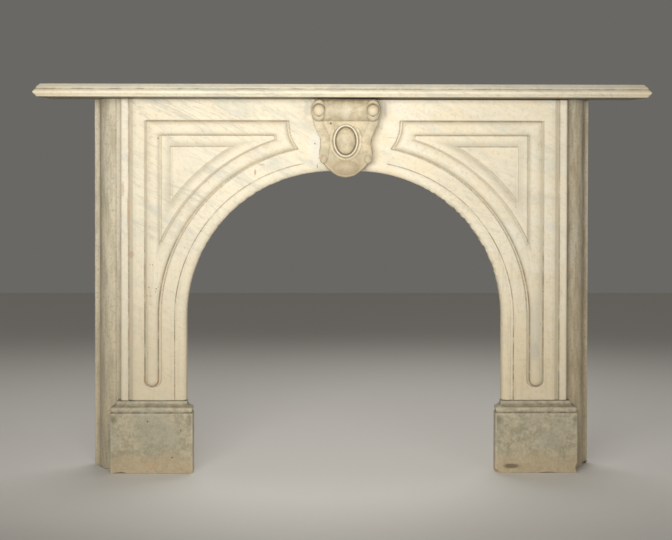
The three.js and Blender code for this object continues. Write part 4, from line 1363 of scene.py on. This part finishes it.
def stones():
    """Each stone: (form, node, voxel, triangles, sharp, blunt, seed, damage), finish, slot."""
    slab = slab_form()
    plinth = moulded_block(plinth_edge(), PLINTH_LOW, PLINTH_HIGH)
    side = return_form()
    shelf = moulded_block(shelf_edge(), SHELF_LOW, SHELF_HIGH)
    mottled = plinth_marble()
    return (
        ((mirrored(slab, FACE_X, "left"), "arch_slab_left", SLAB_VOXEL, SLAB_TRIANGLES, 1, 8, 12,
          partial(rubbed_edge, side=-1, first=20, last=75, depth=0.0016, seed=5)),
         left_marble(), "marble"),
        ((slab, "arch_slab_right", SLAB_VOXEL, SLAB_TRIANGLES, 1, 8, 11,
          partial(rubbed_edge, side=1, first=10, last=66, depth=0.0034, seed=6)),
         right_marble(), "marble"),
        ((keystone_form(), "keystone", KEY_VOXEL, KEY_TRIANGLES, 1, 5, 13),
         keystone_marble(), "keystone_marble"),
        ((mirrored(plinth, FACE_X, "left"), "plinth_left", PLINTH_VOXEL, BLOCK_TRIANGLES, 2, 9, 14,
          partial(bitten, bites=PLINTH_LEFT_BITES, seed=16)), mottled, "plinth_marble"),
        ((plinth, "plinth_right", PLINTH_VOXEL, BLOCK_TRIANGLES, 2, 9, 15,
          partial(bitten, bites=PLINTH_RIGHT_BITES, seed=17)), mottled, "plinth_marble"),
        ((mirrored(side, 0, "left"), "return_left", PLINTH_VOXEL, BLOCK_TRIANGLES, 2, 7, 16,
          partial(bitten, bites=LEFT_FEET, seed=18)),
         return_marble("left_return", LEFT_RETURN), "return_marble"),
        ((side, "return_right", PLINTH_VOXEL, BLOCK_TRIANGLES, 2, 7, 17,
          partial(bitten, bites=RIGHT_FEET, seed=19)),
         return_marble("right_return", RIGHT_RETURN), "return_marble"),
        ((shelf, "shelf", SHELF_VOXEL, SHELF_TRIANGLES, 2, 6, 18), shelf_marble(), "marble"),
    )


for form, finish, slot in stones():
    stone = worn(*form)
    stone.data.materials.clear()
    stone.data.materials.append(finish)


# Room
FLOOR_HALF_SIZE = 6.0
FLOOR_COLOUR = (0.82, 0.80, 0.76, 1)
FLOOR_ROUGHNESS = 0.85
AIR_COLOUR = (0.96, 0.92, 0.85, 1)
AIR_STRENGTH = 0.15

# Each light: name, place, where it points, size, watts, colour and spread in degrees
LIGHTS = (
    ("window", (-0.44, -2.1, 1.14), (-0.1, 0, 1.08), (1.4, 0.6), 14.7, (1, 0.985, 0.96), 100),
    ("fill", (1.5, -2.8, 1.05), (0.2, 0, 1.0), (1.2, 1.0), 4.7, (1, 0.985, 0.97), 110),
    ("behind", (0.2, 2.2, 3.2), (0, 0, 0.5), (3.0, 2.0), 20, (1, 0.99, 0.97), 120),
)

LENS = 87.81
SENSOR_WIDTH = 36
SHIFT_X = -0.029
SHIFT_Y = -0.139
EYE = (-0.054, -4.983, 0.998)
EYE_TILT = 90 - 1.13
EYE_ROLL = -0.10
EYE_TURN = -1.07


def floor():
    bm = bmesh.new()
    bmesh.ops.create_grid(bm, x_segments=1, y_segments=1, size=FLOOR_HALF_SIZE)
    ground = piece_of(bm, "floor")
    material = bpy.data.materials.new("floor")
    material.use_nodes = True
    shader = material.node_tree.nodes["Principled BSDF"]
    shader.inputs["Base Color"].default_value = FLOOR_COLOUR
    shader.inputs["Roughness"].default_value = FLOOR_ROUGHNESS
    ground.data.materials.append(material)


def soft_light(name, place, aim, size, watts, colour, spread):
    light = bpy.data.lights.new(name, "AREA")
    light.shape = "RECTANGLE"
    light.size, light.size_y = size
    light.energy = watts
    light.color = colour
    light.spread = math.radians(spread)
    lamp = bpy.data.objects.new(name, light)
    lamp.location = place
    lamp.rotation_euler = (Vector(aim) - Vector(place)).to_track_quat("-Z", "Y").to_euler()
    bpy.context.collection.objects.link(lamp)


def lights():
    world = bpy.data.worlds.new("studio")
    world.use_nodes = True
    background = world.node_tree.nodes["Background"]
    background.inputs["Color"].default_value = AIR_COLOUR
    background.inputs["Strength"].default_value = AIR_STRENGTH
    bpy.context.scene.world = world
    bpy.context.scene.view_settings.view_transform = "Standard"
    for light in LIGHTS:
        soft_light(*light)


def camera():
    lens = bpy.data.cameras.new("camera")
    lens.lens = LENS
    lens.sensor_width = SENSOR_WIDTH
    lens.shift_x = SHIFT_X
    lens.shift_y = SHIFT_Y
    eye = bpy.data.objects.new("camera", lens)
    eye.location = EYE
    eye.rotation_euler = [math.radians(angle) for angle in (EYE_TILT, EYE_ROLL, EYE_TURN)]
    bpy.context.collection.objects.link(eye)
    bpy.context.scene.camera = eye


floor()
lights()
camera()
